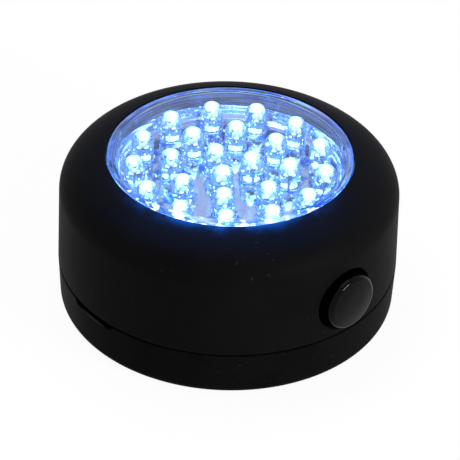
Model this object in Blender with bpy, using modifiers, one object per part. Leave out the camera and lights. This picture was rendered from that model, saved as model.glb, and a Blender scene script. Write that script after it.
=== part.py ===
"""A round battery work light with 24 LEDs, a side button, magnets and a fold-out hook.

The light stands on its base with the LEDs facing up. The origin is the centre of the base's underside,
+Z points out through the lens. All sizes are in metres. The pieces are stacked from the ground up and
from the cells outwards, so that the housing takes its size from what it holds.
"""

import math

import bmesh
import bpy
from mathutils import Matrix, Vector

OBJECT_NAME = "magnetic_led_light"

# Fits and drawing quality
FIT_GAP = 0.0003
OVERRUN = 0.0010
BITE = 0.0002
ROUND_STEPS = 48
SMALL_STEPS = 16
TINY_STEPS = 10
BUTTON_STEPS = 24
LEAD_HOLE_STEPS = 6
SHARP_ANGLE = 35
BEVEL_ANGLE = 50
MERGE_DISTANCE = 0.00001

# Cells: three of the small round size, side by side and in series
CELL_COUNT = 3
CELL_DIAMETER = 0.0105
CELL_LENGTH = 0.0445
CELL_NUB_DIAMETER = 0.0038
CELL_NUB_HEIGHT = 0.0008
CELL_EDGE_ROUND = 0.0005
CELL_SPACING = 0.0006

# Contacts and springs
CONTACT_THICKNESS = 0.0003
CONTACT_MARGIN = 0.0010
CONTACT_TAB_WIDTH = 0.0030
CONTACT_TAB_RISE = 0.0006
SPRING_LENGTH = 0.0044
SPRING_WIRE = 0.0006
SPRING_WIDE_RADIUS = 0.0040
SPRING_NARROW_RADIUS = 0.0018
SPRING_TURNS = 2.5
SPRING_POINTS_PER_TURN = 9

# Swivel disc in the underside, with its hub, washer and screw
SWIVEL_RADIUS = 0.0260
SWIVEL_THICKNESS = 0.0050
SWIVEL_INSET = 0.0003
SWIVEL_EDGE = 0.0005
HUB_RADIUS = 0.0045
HUB_PLAY = 0.0004
WASHER_RADIUS = 0.0065
WASHER_THICKNESS = 0.0008

# Screws, all of one kind
SCREW_RADIUS = 0.0011
SCREW_PILOT_GAP = 0.0003
SCREW_HEAD_RADIUS = 0.0023
SCREW_HEAD_HEIGHT = 0.0012
SCREW_HEAD_CROWN = 0.0004
SCREW_SLOT_WIDTH = 0.0006
SCREW_SLOT_DEPTH = 0.0005
SCREW_SLOT_SHARE = 0.6
SWIVEL_SCREW_GRIP = 0.0020
BOARD_SCREW_GRIP = 0.0040
TRAY_SCREW_GRIP = 0.0050

# Magnets in the swivel disc
MAGNET_RADIUS = 0.0050
MAGNET_THICKNESS = 0.0030
MAGNET_EDGE = 0.0003

# Fold-out hook, a bar bent to a question mark
HOOK_BAR_WIDTH = 0.0050
HOOK_THICKNESS = 0.0036
HOOK_INSET = 0.0003
HOOK_EDGE = 0.0005
HOOK_BEND_RADIUS = 0.0065
HOOK_BEND_OFFSET = 0.0080
HOOK_TIP_LENGTH = 0.0050
HOOK_SWEEP_START = 0.0050
HOOK_SWEEP_END = 0.0130
HOOK_EYE_RADIUS = 0.0021
HOOK_PIN_RADIUS = 0.0010
HOOK_PIN_PLAY = 0.00025
HOOK_PIN_REACH = 0.0032
HOOK_PIVOT_INSET = 0.0080
HOOK_POCKET_GAP = 0.0005
HOOK_SLOT_HEEL = 0.0004
HOOK_RELIEF_HEIGHT = 0.0027
HOOK_SWEEP_STEPS = 6
HOOK_BEND_STEPS = 10
HOOK_TIP_STEPS = 4
HOOK_POCKET_STEPS = 12

# Base cover
BASE_HEIGHT = 0.0107
BASE_WALL = 0.0020
BASE_FLOOR = 0.0016
BASE_RING_FLOOR = 0.0020
BASE_RECESS_WALL = 0.0016
BASE_EDGE_ROUND = 0.0023
BASE_EDGE_STEPS = 3
BASE_DRAFT = 0.00035
SPIGOT_WALL = 0.0014
SPIGOT_RISE = 0.0030
SPIGOT_BLEND = 0.0012
SNAP_BEAD = 0.0002
SNAP_BEAD_HEIGHT = 0.0010
SNAP_BEAD_RISE = 0.0012
SNAP_TONGUE_WIDTH = 0.0140
SNAP_SLOT_WIDTH = 0.0012
SNAP_ANGLES = (90, 180, 270)
BUTTON_RELIEF_WIDTH = 0.0150
CELL_RIB_THICKNESS = 0.0012
CELL_RIB_SPREAD = 0.0150
PRY_NOTCH_WIDTH = 0.0139
PRY_NOTCH_DEPTH = 0.0012
PRY_NOTCH_REACH = 0.0016
PRY_NOTCH_AZIMUTH = -49.8
PRY_NOTCH_STEPS = 64

# Battery tray with the switch cradle
TRAY_WALL = 0.0012
TRAY_SKIRT = 0.0015
TRAY_RIB_THICKNESS = 0.0012
TRAY_RIB_DEPTH = 0.0026
TRAY_EAR_WIDTH = 0.0070
WIRING_SPACE = 0.0024
SWITCH_HEADROOM = 0.0012

# LED board
BOARD_THICKNESS = 0.0016
BOARD_EDGE = 0.0025
LEAD_STUB = 0.0011
LEAD_SIZE = 0.0005
LEAD_HOLE_GAP = 0.00025
LEAD_PITCH = 0.00254

# LEDs of the 5 mm size
LED_RADIUS = 0.0025
LED_FLANGE_RADIUS = 0.0029
LED_FLANGE_THICKNESS = 0.0008
LED_FLANGE_FLAT = 0.0026
LED_HEIGHT = 0.0086
LED_HOLE_GAP = 0.0002
LED_STEPS = 10
LED_DOME_STEPS = 2
LED_DOME_START = 62
LED_RING_COUNTS = (13, 8, 3)
LED_RING_SHARES = (1.0, 0.623, 0.232)
LED_RING_PHASES = (-8.4, -4.8, 12.0)

# Reflector
REFLECTOR_THICKNESS = 0.0008
REFLECTOR_SLOPE_WIDTH = 0.0016
REFLECTOR_SLOPE_RISE = 0.0029
REFLECTOR_SLOPE_STEPS = 3
REFLECTOR_SKIRT = 0.0010
LED_RING_MARGIN = 0.0002

# Lens, an inverted cup with a crowned top
LENS_WALL = 0.0012
LENS_CROWN = 0.0011
LENS_EDGE_ROUND = 0.0005
LENS_FLANGE_WIDTH = 0.0010
LENS_CROWN_STEPS = 3

# Housing
HOUSING_WALL = 0.0020
HOUSING_LIP = 0.0024
HOUSING_DRAFT = 0.00044
SEAM_GAP = 0.00035
SHOULDER_WIDTH = 0.0155
SHOULDER_RISE = 0.0097
SHOULDER_STEPS = 7
SHOULDER_INNER_STEPS = 2
SNAP_GROOVE_DEPTH = 0.0005
POST_RADIUS = 0.0024
POST_FLANGE_SPACE = 0.00113
BOARD_POST_ANGLES = (60, 180, 300)
TRAY_POST_ANGLES = (90, 270)
RIB_ANGLES = (30, 120, 150, 210, 240, 330)
RIB_THICKNESS = 0.0012
RIB_DEPTH = 0.0012
RIB_INSET = 0.0040

# Button and switch. The button's azimuth is measured from the front towards the right.
BUTTON_AZIMUTH = 42.87
BUTTON_RADIUS = 0.0064
BUTTON_RECESS_GAP = 0.0010
BUTTON_PROUD = 0.00275
BUTTON_CROWN = 0.0004
BUTTON_EDGE_ROUND = 0.0009
BUTTON_EDGE_STEPS = 3
BUTTON_TRAVEL = 0.0012
BUTTON_FLANGE_OVERLAP = 0.0005
BUTTON_FLANGE_THICKNESS = 0.0012
BUTTON_COLLAR_RADIUS = 0.0080
BUTTON_COLLAR_DEPTH = 0.0036
BUTTON_SOCKET_DEPTH = 0.0034
SWITCH_SIZE = 0.0080
SWITCH_LENGTH = 0.0085
SWITCH_EDGE = 0.0004
SWITCH_REAR_SPACE = 0.00335
SWITCH_BORE_DEPTH = 0.0057
PLUNGER_RADIUS = 0.0017
PLUNGER_TAIL = 0.0039
TERMINAL_LENGTH = 0.0016
TERMINAL_WIDTH = 0.0010
TERMINAL_HEIGHT = 0.0030
TERMINAL_SPREAD = 0.0020
CRADLE_WALL = 0.0012
CRADLE_LIP = 0.0009
CRADLE_LIP_REACH = 0.0014
CRADLE_SHARE = 0.55

# Resistor and wires
RESISTOR_RADIUS = 0.0011
RESISTOR_LENGTH = 0.0063
RESISTOR_WAIST = 0.0009
RESISTOR_CAP_LENGTH = 0.0012
RESISTOR_LEAD_RADIUS = 0.0003
RESISTOR_LEAD_REACH = 0.0014
WIRE_RADIUS = 0.0005
WIRE_POINTS = 14
WIRE_SAG = 0.0002
SWITCHED_PAD_ANGLE = -55
NEGATIVE_PAD_ANGLE = 241
PAD_LEAD_IN = 9
PAD_LANDING = 2

# Heights, from the ground up
SWIVEL_TOP = SWIVEL_INSET + SWIVEL_THICKNESS
RECESS_TOP = SWIVEL_TOP + FIT_GAP
FLOOR_TOP = RECESS_TOP + BASE_FLOOR
WASHER_BOTTOM = FLOOR_TOP + FIT_GAP
SWIVEL_HEAD_BOTTOM = WASHER_BOTTOM + WASHER_THICKNESS + FIT_GAP
CELL_BOTTOM = SWIVEL_HEAD_BOTTOM + SCREW_HEAD_HEIGHT + FIT_GAP
CELL_AXIS = CELL_BOTTOM + CELL_DIAMETER / 2
ROOF_BOTTOM = CELL_AXIS + CELL_DIAMETER / 2 + FIT_GAP
ROOF_TOP = ROOF_BOTTOM + TRAY_WALL
HOUSING_BOTTOM = BASE_HEIGHT + SEAM_GAP
BUTTON_HEIGHT = HOUSING_BOTTOM + BUTTON_COLLAR_RADIUS + BITE
SWITCH_TOP = BUTTON_HEIGHT + SWITCH_SIZE / 2
LEAD_END = max(ROOF_TOP + WIRING_SPACE, SWITCH_TOP + SWITCH_HEADROOM)
BOARD_BOTTOM = LEAD_END + LEAD_STUB
BOARD_TOP = BOARD_BOTTOM + BOARD_THICKNESS
LED_BASE = BOARD_TOP + FIT_GAP
LED_TIP = LED_BASE + LED_HEIGHT
PLATE_BOTTOM = LED_BASE + LED_FLANGE_THICKNESS + FIT_GAP
PLATE_TOP = PLATE_BOTTOM + REFLECTOR_THICKNESS
REFLECTOR_RIM = PLATE_TOP + REFLECTOR_SLOPE_RISE
LENS_SKIRT_BOTTOM = REFLECTOR_RIM + FIT_GAP
TRAY_BOTTOM = CELL_BOTTOM + TRAY_SKIRT
SPIGOT_TOP = BASE_HEIGHT + SPIGOT_RISE
SNAP_HEIGHT = BASE_HEIGHT + SNAP_BEAD_RISE

# Distances across the cells, towards the button
CELL_PITCH = CELL_DIAMETER + CELL_SPACING
TRAY_INNER_HALF_WIDTH = CELL_PITCH * (CELL_COUNT - 1) / 2 + CELL_DIAMETER / 2 + FIT_GAP
TRAY_HALF_WIDTH = TRAY_INNER_HALF_WIDTH + TRAY_WALL
SWITCH_REACH = TRAY_HALF_WIDTH + SWITCH_REAR_SPACE + SWITCH_LENGTH + FIT_GAP + CRADLE_LIP
BUTTON_REACH = SWITCH_REACH + BUTTON_TRAVEL + FIT_GAP + BUTTON_FLANGE_THICKNESS + FIT_GAP

# Distances along the cells, towards the tray's screws
TRAY_INNER_HALF_LENGTH = (CELL_LENGTH + SPRING_LENGTH) / 2 + CONTACT_THICKNESS + 2.5 * FIT_GAP
TRAY_HALF_LENGTH = TRAY_INNER_HALF_LENGTH + TRAY_WALL
POST_CIRCLE = TRAY_HALF_LENGTH + 2 * POST_RADIUS

# Radii of the round pieces. The wider need of the two directions sets the housing.
HOUSING_RADIUS = max(
    BUTTON_REACH + BUTTON_COLLAR_DEPTH,
    POST_CIRCLE + POST_RADIUS + FIT_GAP + HOUSING_WALL,
)
HOUSING_SKIRT_RADIUS = HOUSING_RADIUS + HOUSING_DRAFT
BASE_BOTTOM_RADIUS = HOUSING_SKIRT_RADIUS - BASE_DRAFT
LENS_FLANGE_RADIUS = POST_CIRCLE - POST_RADIUS - POST_FLANGE_SPACE
LENS_RADIUS = LENS_FLANGE_RADIUS - LENS_FLANGE_WIDTH
LENS_INNER_RADIUS = LENS_RADIUS - LENS_WALL
OPENING_RADIUS = LENS_RADIUS + FIT_GAP
PLATE_RADIUS = LENS_INNER_RADIUS - REFLECTOR_SLOPE_WIDTH
LED_OUTER_RING = PLATE_RADIUS - LED_FLANGE_RADIUS - LED_RING_MARGIN
LED_RINGS = [LED_OUTER_RING * share for share in LED_RING_SHARES]
BOARD_RADIUS = POST_CIRCLE + BOARD_EDGE
SPIGOT_RADIUS = HOUSING_SKIRT_RADIUS - HOUSING_WALL - FIT_GAP

# Heights at the top, which follow the lens
LENS_CROWN_AT_RING = LENS_CROWN * (1 - (LED_OUTER_RING / LENS_RADIUS) ** 2)
LENS_RIM = LED_TIP + FIT_GAP + LENS_WALL - LENS_CROWN_AT_RING
HOUSING_TOP = LENS_RIM
LENS_FLANGE_TOP = HOUSING_TOP - HOUSING_LIP - FIT_GAP
SHOULDER_CENTRE = HOUSING_RADIUS - SHOULDER_WIDTH
OPENING_SHARE = max(OPENING_RADIUS - SHOULDER_CENTRE, 0.0) / SHOULDER_WIDTH
SHOULDER_BASE = HOUSING_TOP - SHOULDER_RISE * math.sqrt(1 - OPENING_SHARE**2)

# The hole that every screw goes through or into
SCREW_HOLE_RADIUS = SCREW_RADIUS + SCREW_PILOT_GAP

# Places of the button's and the switch's faces on the button's axis
COLLAR_FACE = HOUSING_RADIUS - BUTTON_COLLAR_DEPTH
FLANGE_OUTER = COLLAR_FACE - FIT_GAP
FLANGE_INNER = FLANGE_OUTER - BUTTON_FLANGE_THICKNESS
BUTTON_FACE = HOUSING_RADIUS + BUTTON_PROUD
LIP_FACE = FLANGE_INNER - FIT_GAP - BUTTON_TRAVEL
SWITCH_FRONT = LIP_FACE - CRADLE_LIP - FIT_GAP
SWITCH_BACK = SWITCH_FRONT - SWITCH_LENGTH
BUTTON_HOLE_RADIUS = BUTTON_RADIUS + BUTTON_RECESS_GAP
BUTTON_FLANGE_RADIUS = BUTTON_HOLE_RADIUS + BUTTON_FLANGE_OVERLAP
PLUNGER_END = FLANGE_INNER + BUTTON_SOCKET_DEPTH - FIT_GAP
PLUNGER_START = SWITCH_FRONT - PLUNGER_TAIL

# Places of the hook in the swivel disc
HOOK_BOTTOM = SWIVEL_INSET + HOOK_INSET
HOOK_AXIS_HEIGHT = HOOK_BOTTOM + HOOK_THICKNESS / 2
HOOK_PIVOT_Y = SWIVEL_RADIUS - HOOK_PIVOT_INSET
POCKET_TOP = HOOK_BOTTOM + HOOK_THICKNESS + FIT_GAP
POCKET_HALF_WIDTH = HOOK_BEND_RADIUS + HOOK_BAR_WIDTH / 2 + HOOK_POCKET_GAP
MAGNET_SPREAD = (POCKET_HALF_WIDTH + SWIVEL_RADIUS) / 2


def clear_scene():
    for item in list(bpy.data.objects):
        bpy.data.objects.remove(item, do_unlink=True)


def new_collection(name):
    collection = bpy.data.collections.new(name)
    bpy.context.scene.collection.children.link(collection)
    return collection


def new_material(name, color, roughness, metallic=0.0, transmission=0.0):
    material = bpy.data.materials.new(name)
    material.use_nodes = True
    shader = material.node_tree.nodes["Principled BSDF"]
    shader.inputs["Base Color"].default_value = (*color, 1.0)
    shader.inputs["Roughness"].default_value = roughness
    shader.inputs["Metallic"].default_value = metallic
    shader.inputs["Transmission Weight"].default_value = transmission
    material.diffuse_color = (*color, 1.0)
    return material


clear_scene()
PARTS = new_collection(OBJECT_NAME)
CUTTERS = new_collection("cutters")

SOFT_BLACK = new_material("soft_black_plastic", (0.014, 0.014, 0.017), 0.62)
BASE_BLACK = new_material("base_black_plastic", (0.016, 0.016, 0.018), 0.55)
GLOSS_BLACK = new_material("gloss_black_plastic", (0.008, 0.008, 0.010), 0.16)
INNER_BLACK = new_material("inner_black_plastic", (0.020, 0.020, 0.022), 0.50)
CLEAR = new_material("clear_plastic", (0.93, 0.95, 1.00), 0.03, transmission=1.0)
LED_CLEAR = new_material("led_epoxy", (0.75, 0.88, 1.00), 0.08, transmission=0.6)
MIRROR = new_material("plated_plastic", (0.80, 0.80, 0.88), 0.08, metallic=1.0)
BOARD_GREEN = new_material("circuit_board", (0.03, 0.16, 0.07), 0.45)
NICKEL = new_material("nickel_plate", (0.62, 0.60, 0.56), 0.22, metallic=1.0)
STEEL = new_material("zinc_plated_steel", (0.55, 0.55, 0.56), 0.32, metallic=1.0)
CELL_WRAP = new_material("cell_wrap", (0.05, 0.06, 0.09), 0.30)
RED_WIRE = new_material("red_insulation", (0.55, 0.02, 0.02), 0.40)
BLACK_WIRE = new_material("black_insulation", (0.02, 0.02, 0.02), 0.40)
RESISTOR_BODY = new_material("resistor_coat", (0.58, 0.44, 0.26), 0.45)


def link(obj, material=None, parent=None):
    """Puts an object among the parts, or among the cutters when it has no material."""
    if material is None:
        CUTTERS.objects.link(obj)
        obj.hide_render = True
        obj.display_type = "WIRE"
    else:
        PARTS.objects.link(obj)
        obj.data.materials.append(material)
    obj.parent = parent
    return obj


def from_bmesh(name, shape, material=None, parent=None, smooth=True):
    bmesh.ops.recalc_face_normals(shape, faces=shape.faces)
    mesh = bpy.data.meshes.new(name)
    shape.to_mesh(mesh)
    shape.free()
    if smooth:
        mesh.shade_smooth()
        mesh.set_sharp_from_angle(angle=math.radians(SHARP_ANGLE))
    return link(bpy.data.objects.new(name, mesh), material, parent)


def applied_mesh(obj, material):
    """The mesh of an object with its modifiers applied."""
    graph = bpy.context.evaluated_depsgraph_get()
    mesh = bpy.data.meshes.new_from_object(obj.evaluated_get(graph))
    mesh.materials.clear()
    mesh.materials.append(material)
    mesh.shade_smooth()
    mesh.set_sharp_from_angle(angle=math.radians(SHARP_ANGLE))
    return mesh


def welded_shape(obj):
    """The closed shape of a curve object, which it removes."""
    graph = bpy.context.evaluated_depsgraph_get()
    mesh = bpy.data.meshes.new_from_object(obj.evaluated_get(graph))
    bpy.data.objects.remove(obj)
    shape = bmesh.new()
    shape.from_mesh(mesh)
    bpy.data.meshes.remove(mesh)
    bmesh.ops.remove_doubles(shape, verts=shape.verts, dist=MERGE_DISTANCE)
    return shape


def turn_about_z(degrees):
    return Matrix.Rotation(math.radians(degrees), 4, "Z")


def add_box(shape, low, high, turn=0.0):
    """Adds a box between two corners, then turned about the origin by some degrees."""
    low = Vector(low)
    high = Vector(high)
    size = high - low
    place = Matrix.Translation((low + high) / 2) @ Matrix.Diagonal((*size, 1.0))
    bmesh.ops.create_cube(shape, size=1.0, matrix=turn_about_z(turn) @ place)


def add_rod(shape, radius, start, end, steps=SMALL_STEPS, end_radius=None):
    """Adds a cylinder, or a cone, from one point to another."""
    start = Vector(start)
    end = Vector(end)
    along = end - start
    turn = along.to_track_quat("Z", "X").to_matrix().to_4x4()
    bmesh.ops.create_cone(
        shape,
        cap_ends=True,
        segments=steps,
        radius1=radius,
        radius2=radius if end_radius is None else end_radius,
        depth=along.length,
        matrix=Matrix.Translation((start + end) / 2) @ turn,
    )


def add_upright(shape, radius, place, low, high, steps=SMALL_STEPS):
    """Adds an upright cylinder at a place in the plan, between two heights."""
    add_rod(shape, radius, (place.x, place.y, low), (place.x, place.y, high), steps)


def turned(name, profile, material=None, parent=None, steps=ROUND_STEPS, closed=True):
    """A profile of (radius, height) points turned about Z. Its points run down the outer side."""
    mesh = bpy.data.meshes.new(name)
    count = len(profile)
    edges = [(i, i + 1) for i in range(count - 1)]
    if closed:
        edges.append((count - 1, 0))
    mesh.from_pydata([(radius, 0.0, height) for radius, height in profile], edges, [])
    obj = link(bpy.data.objects.new(name, mesh), material, parent)
    screw = obj.modifiers.new("turn", "SCREW")
    screw.axis = "Z"
    screw.steps = steps
    screw.render_steps = steps
    screw.use_merge_vertices = True
    screw.merge_threshold = MERGE_DISTANCE
    screw.use_smooth_shade = True
    return obj


def arc(centre, radii, start, end, steps):
    """Points of an ellipse's arc, from one angle to another in degrees. 0 is outwards, 90 is up."""
    points = []
    for i in range(steps + 1):
        angle = math.radians(start + (end - start) * i / steps)
        points.append((centre[0] + radii[0] * math.cos(angle), centre[1] + radii[1] * math.sin(angle)))
    return points


def boolean(obj, tool, operation="DIFFERENCE"):
    modifier = obj.modifiers.new(tool.name, "BOOLEAN")
    modifier.operation = operation
    modifier.object = tool
    modifier.solver = "EXACT"


def bevel(obj, width, segments=1):
    modifier = obj.modifiers.new("edges", "BEVEL")
    modifier.width = width
    modifier.segments = segments
    modifier.limit_method = "ANGLE"
    modifier.angle_limit = math.radians(BEVEL_ANGLE)


def polar(radius, degrees, height=0.0):
    angle = math.radians(degrees)
    return Vector((radius * math.cos(angle), radius * math.sin(angle), height))


def empty(name, place=(0, 0, 0), turn=0.0, parent=None):
    guide = bpy.data.objects.new(name, None)
    guide.location = place
    guide.rotation_euler = (0, 0, math.radians(turn))
    guide.parent = parent
    PARTS.objects.link(guide)
    return guide


def world_angle(azimuth):
    """The angle from +X of a direction whose azimuth is measured from the front towards the right."""
    return azimuth - 90


# Whatever lines up with the button is placed in this frame: +X towards the button, +Y along the cells.
SERVICE = empty("service_frame", turn=world_angle(BUTTON_AZIMUTH))


def shoulder_arc(inset, lowest_radius, steps):
    """The housing's shoulder, offset inwards, from its cut at a radius down to the side wall."""
    radii = (SHOULDER_WIDTH - inset, SHOULDER_RISE - inset)
    share = min(max(lowest_radius - SHOULDER_CENTRE, 0.0) / radii[0], 1.0)
    start = math.degrees(math.acos(share))
    return arc((SHOULDER_CENTRE, SHOULDER_BASE), radii, start, 0, steps)


def make_housing():
    ledge = HOUSING_TOP - HOUSING_LIP
    inner_rise = SHOULDER_RISE - HOUSING_WALL
    height_share = min((ledge - SHOULDER_BASE) / inner_rise, 1.0)
    ledge_reach = (SHOULDER_WIDTH - HOUSING_WALL) * math.sqrt(1 - height_share**2)
    ledge_radius = max(SHOULDER_CENTRE + ledge_reach, OPENING_RADIUS + BITE)
    inner_skirt = HOUSING_SKIRT_RADIUS - HOUSING_WALL
    groove_low = SNAP_HEIGHT - SNAP_BEAD_HEIGHT / 2
    groove_high = SNAP_HEIGHT + SNAP_BEAD_HEIGHT
    outer = shoulder_arc(0.0, OPENING_RADIUS, SHOULDER_STEPS)
    inner = shoulder_arc(HOUSING_WALL, ledge_radius, SHOULDER_INNER_STEPS)
    profile = [(OPENING_RADIUS, ledge)]
    profile += outer
    profile += [
        (HOUSING_SKIRT_RADIUS, HOUSING_BOTTOM),
        (inner_skirt, HOUSING_BOTTOM),
        (inner_skirt, groove_low),
        (inner_skirt + SNAP_GROOVE_DEPTH, SNAP_HEIGHT),
        (inner_skirt, groove_high),
    ]
    profile += reversed(inner)
    housing = turned("housing", profile, SOFT_BLACK)

    add_posts(housing)
    add_ribs(housing)
    cut_button_hole(housing)


def add_posts(housing):
    """Screw posts for the board and, longer, for the tray. They end inside the shoulder's wall."""
    half_wall = HOUSING_WALL / 2
    core = [(0.0, SHOULDER_BASE + SHOULDER_RISE - half_wall)]
    core += shoulder_arc(half_wall, SHOULDER_CENTRE, SHOULDER_STEPS)
    core += [(HOUSING_RADIUS - half_wall, HOUSING_BOTTOM), (0.0, HOUSING_BOTTOM)]
    limit = turned("post_limit", core, closed=False)
    posts = bmesh.new()
    holes = bmesh.new()
    kinds = (
        (BOARD_POST_ANGLES, BOARD_TOP, BOARD_SCREW_GRIP),
        (TRAY_POST_ANGLES, ROOF_TOP, TRAY_SCREW_GRIP),
    )
    for angles, seat, grip in kinds:
        for angle in angles:
            place = polar(POST_CIRCLE, angle)
            add_upright(posts, POST_RADIUS, place, seat + FIT_GAP, HOUSING_TOP)
            hole_end = seat + 2 * FIT_GAP + grip
            add_upright(holes, SCREW_HOLE_RADIUS, place, seat - OVERRUN, hole_end, TINY_STEPS)
    tool = from_bmesh("housing_posts", posts, parent=SERVICE)
    boolean(tool, limit, "INTERSECT")
    boolean(housing, tool, "UNION")
    boolean(housing, from_bmesh("post_holes", holes, parent=SERVICE))


def add_ribs(housing):
    """Ribs that stiffen the side wall."""
    ribs = bmesh.new()
    wall = HOUSING_RADIUS - HOUSING_WALL
    for angle in RIB_ANGLES:
        low = (wall - RIB_DEPTH, -RIB_THICKNESS / 2, SPIGOT_TOP + FIT_GAP)
        high = (wall + HOUSING_WALL / 2, RIB_THICKNESS / 2, SHOULDER_BASE - RIB_INSET)
        add_box(ribs, low, high, angle)
    boolean(housing, from_bmesh("housing_ribs", ribs, parent=SERVICE), "UNION")


def cut_button_hole(housing):
    """The button's hole and the collar behind it, whose flat end stops the button's flange."""
    collar = bmesh.new()
    add_rod(
        collar,
        BUTTON_COLLAR_RADIUS,
        (COLLAR_FACE, 0, BUTTON_HEIGHT),
        (HOUSING_RADIUS - HOUSING_WALL / 2, 0, BUTTON_HEIGHT),
        steps=BUTTON_STEPS,
    )
    boolean(housing, from_bmesh("button_collar", collar, parent=SERVICE), "UNION")

    hole = bmesh.new()
    add_rod(
        hole,
        BUTTON_HOLE_RADIUS,
        (COLLAR_FACE - OVERRUN, 0, BUTTON_HEIGHT),
        (HOUSING_SKIRT_RADIUS + OVERRUN, 0, BUTTON_HEIGHT),
        steps=BUTTON_STEPS,
    )
    boolean(housing, from_bmesh("button_hole", hole, parent=SERVICE))


def make_lens():
    def crown(radius, drop):
        return (radius, LENS_RIM + LENS_CROWN * (1 - (radius / LENS_RADIUS) ** 2) - drop)

    top_end = LENS_RADIUS - LENS_EDGE_ROUND
    top = [crown(top_end * i / LENS_CROWN_STEPS, 0.0) for i in range(LENS_CROWN_STEPS + 1)]
    under = [
        crown(LENS_INNER_RADIUS * i / LENS_CROWN_STEPS, LENS_WALL) for i in range(LENS_CROWN_STEPS + 1)
    ]
    profile = top + [
        (LENS_RADIUS, LENS_RIM - LENS_EDGE_ROUND),
        (LENS_RADIUS, LENS_FLANGE_TOP),
        (LENS_FLANGE_RADIUS, LENS_FLANGE_TOP),
        (LENS_FLANGE_RADIUS, LENS_SKIRT_BOTTOM),
        (LENS_INNER_RADIUS, LENS_SKIRT_BOTTOM),
    ]
    profile += reversed(under)
    turned("lens", profile, CLEAR, closed=False)


def led_places():
    """Each LED's angle from +X and its radius."""
    places = []
    for count, radius, phase in zip(LED_RING_COUNTS, LED_RINGS, LED_RING_PHASES):
        for i in range(count):
            places.append((phase + 360 * i / count, radius))
    return places


def make_reflector():
    slope_end = (LENS_INNER_RADIUS, REFLECTOR_RIM)
    slope_radii = (REFLECTOR_SLOPE_WIDTH, REFLECTOR_SLOPE_RISE)
    slope = arc((PLATE_RADIUS, REFLECTOR_RIM), slope_radii, 270, 360, REFLECTOR_SLOPE_STEPS)
    skirt_inner = LENS_FLANGE_RADIUS - REFLECTOR_SKIRT
    under = REFLECTOR_RIM - REFLECTOR_THICKNESS
    half_skin = REFLECTOR_THICKNESS / 2
    below_radii = (REFLECTOR_SLOPE_WIDTH + half_skin, REFLECTOR_SLOPE_RISE)
    below = arc((PLATE_RADIUS - half_skin, under), below_radii, 330, 270, REFLECTOR_SLOPE_STEPS - 1)
    profile = [(0.0, PLATE_TOP)] + slope
    profile[-1] = slope_end
    profile += [
        (LENS_FLANGE_RADIUS, REFLECTOR_RIM),
        (LENS_FLANGE_RADIUS, BOARD_TOP + FIT_GAP),
        (skirt_inner, BOARD_TOP + FIT_GAP),
        (skirt_inner, under),
    ]
    profile += below
    profile += [(0.0, PLATE_BOTTOM)]
    reflector = turned("reflector", profile, MIRROR, closed=False)
    holes = bmesh.new()
    low = PLATE_BOTTOM - OVERRUN
    high = PLATE_TOP + OVERRUN
    for angle, radius in led_places():
        add_upright(holes, LED_RADIUS + LED_HOLE_GAP, polar(radius, angle), low, high, LED_STEPS)
    boolean(reflector, from_bmesh("reflector_holes", holes))


def led_mesh():
    """One LED standing on its flange at the origin: dome, body, flange with its flat, and two leads."""
    centre = LED_HEIGHT - LED_RADIUS
    profile = [(0.0, LED_HEIGHT)]
    profile += arc((0.0, centre), (LED_RADIUS, LED_RADIUS), LED_DOME_START, 0, LED_DOME_STEPS)
    profile += [
        (LED_RADIUS, LED_FLANGE_THICKNESS),
        (LED_FLANGE_RADIUS, LED_FLANGE_THICKNESS),
        (LED_FLANGE_RADIUS, 0.0),
        (0.0, 0.0),
    ]
    body = turned("led_blank", profile, steps=LED_STEPS, closed=False)
    flat = bmesh.new()
    add_box(
        flat,
        (LED_FLANGE_FLAT, -LED_FLANGE_RADIUS, -OVERRUN),
        (LED_FLANGE_RADIUS + OVERRUN, LED_FLANGE_RADIUS, LED_FLANGE_THICKNESS + OVERRUN),
    )
    boolean(body, from_bmesh("led_flat", flat))
    leads = bmesh.new()
    lead_length = FIT_GAP + BOARD_THICKNESS + LEAD_STUB
    for side in (-1, 1):
        centre_x = side * LEAD_PITCH / 2
        low = (centre_x - LEAD_SIZE / 2, -LEAD_SIZE / 2, -lead_length)
        high = (centre_x + LEAD_SIZE / 2, LEAD_SIZE / 2, LED_FLANGE_THICKNESS / 2)
        add_box(leads, low, high)
    boolean(body, from_bmesh("led_leads", leads), "UNION")
    return applied_mesh(body, LED_CLEAR)


def make_leds():
    mesh = led_mesh()
    for number, (angle, radius) in enumerate(led_places(), start=1):
        led = bpy.data.objects.new(f"led_{number:02d}", mesh)
        led.location = polar(radius, angle, LED_BASE)
        led.rotation_euler = (0, 0, math.radians(angle + 90))
        PARTS.objects.link(led)


def make_board():
    blank = bmesh.new()
    add_rod(blank, BOARD_RADIUS, (0, 0, BOARD_BOTTOM), (0, 0, BOARD_TOP), steps=ROUND_STEPS)
    board = from_bmesh("led_board", blank, BOARD_GREEN)
    low = BOARD_BOTTOM - OVERRUN
    high = BOARD_TOP + OVERRUN

    lead_holes = bmesh.new()
    hole_radius = LEAD_SIZE * math.sqrt(2) / 2 + LEAD_HOLE_GAP
    for angle, radius in led_places():
        along = polar(LEAD_PITCH / 2, angle + 90)
        for side in (-1, 1):
            place = polar(radius, angle) + side * along
            add_upright(lead_holes, hole_radius, place, low, high, LEAD_HOLE_STEPS)
    boolean(board, from_bmesh("lead_holes", lead_holes))

    cuts = bmesh.new()
    for angle in BOARD_POST_ANGLES:
        add_upright(cuts, SCREW_HOLE_RADIUS, polar(POST_CIRCLE, angle), low, high, TINY_STEPS)
    for angle in TRAY_POST_ANGLES:
        add_upright(cuts, POST_RADIUS + 2 * FIT_GAP, polar(POST_CIRCLE, angle), low, high)
    notch = BUTTON_FLANGE_RADIUS - FIT_GAP
    add_box(cuts, (LIP_FACE, -notch, low), (BOARD_RADIUS + OVERRUN, notch, high))
    boolean(board, from_bmesh("board_cuts", cuts, parent=SERVICE))


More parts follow.
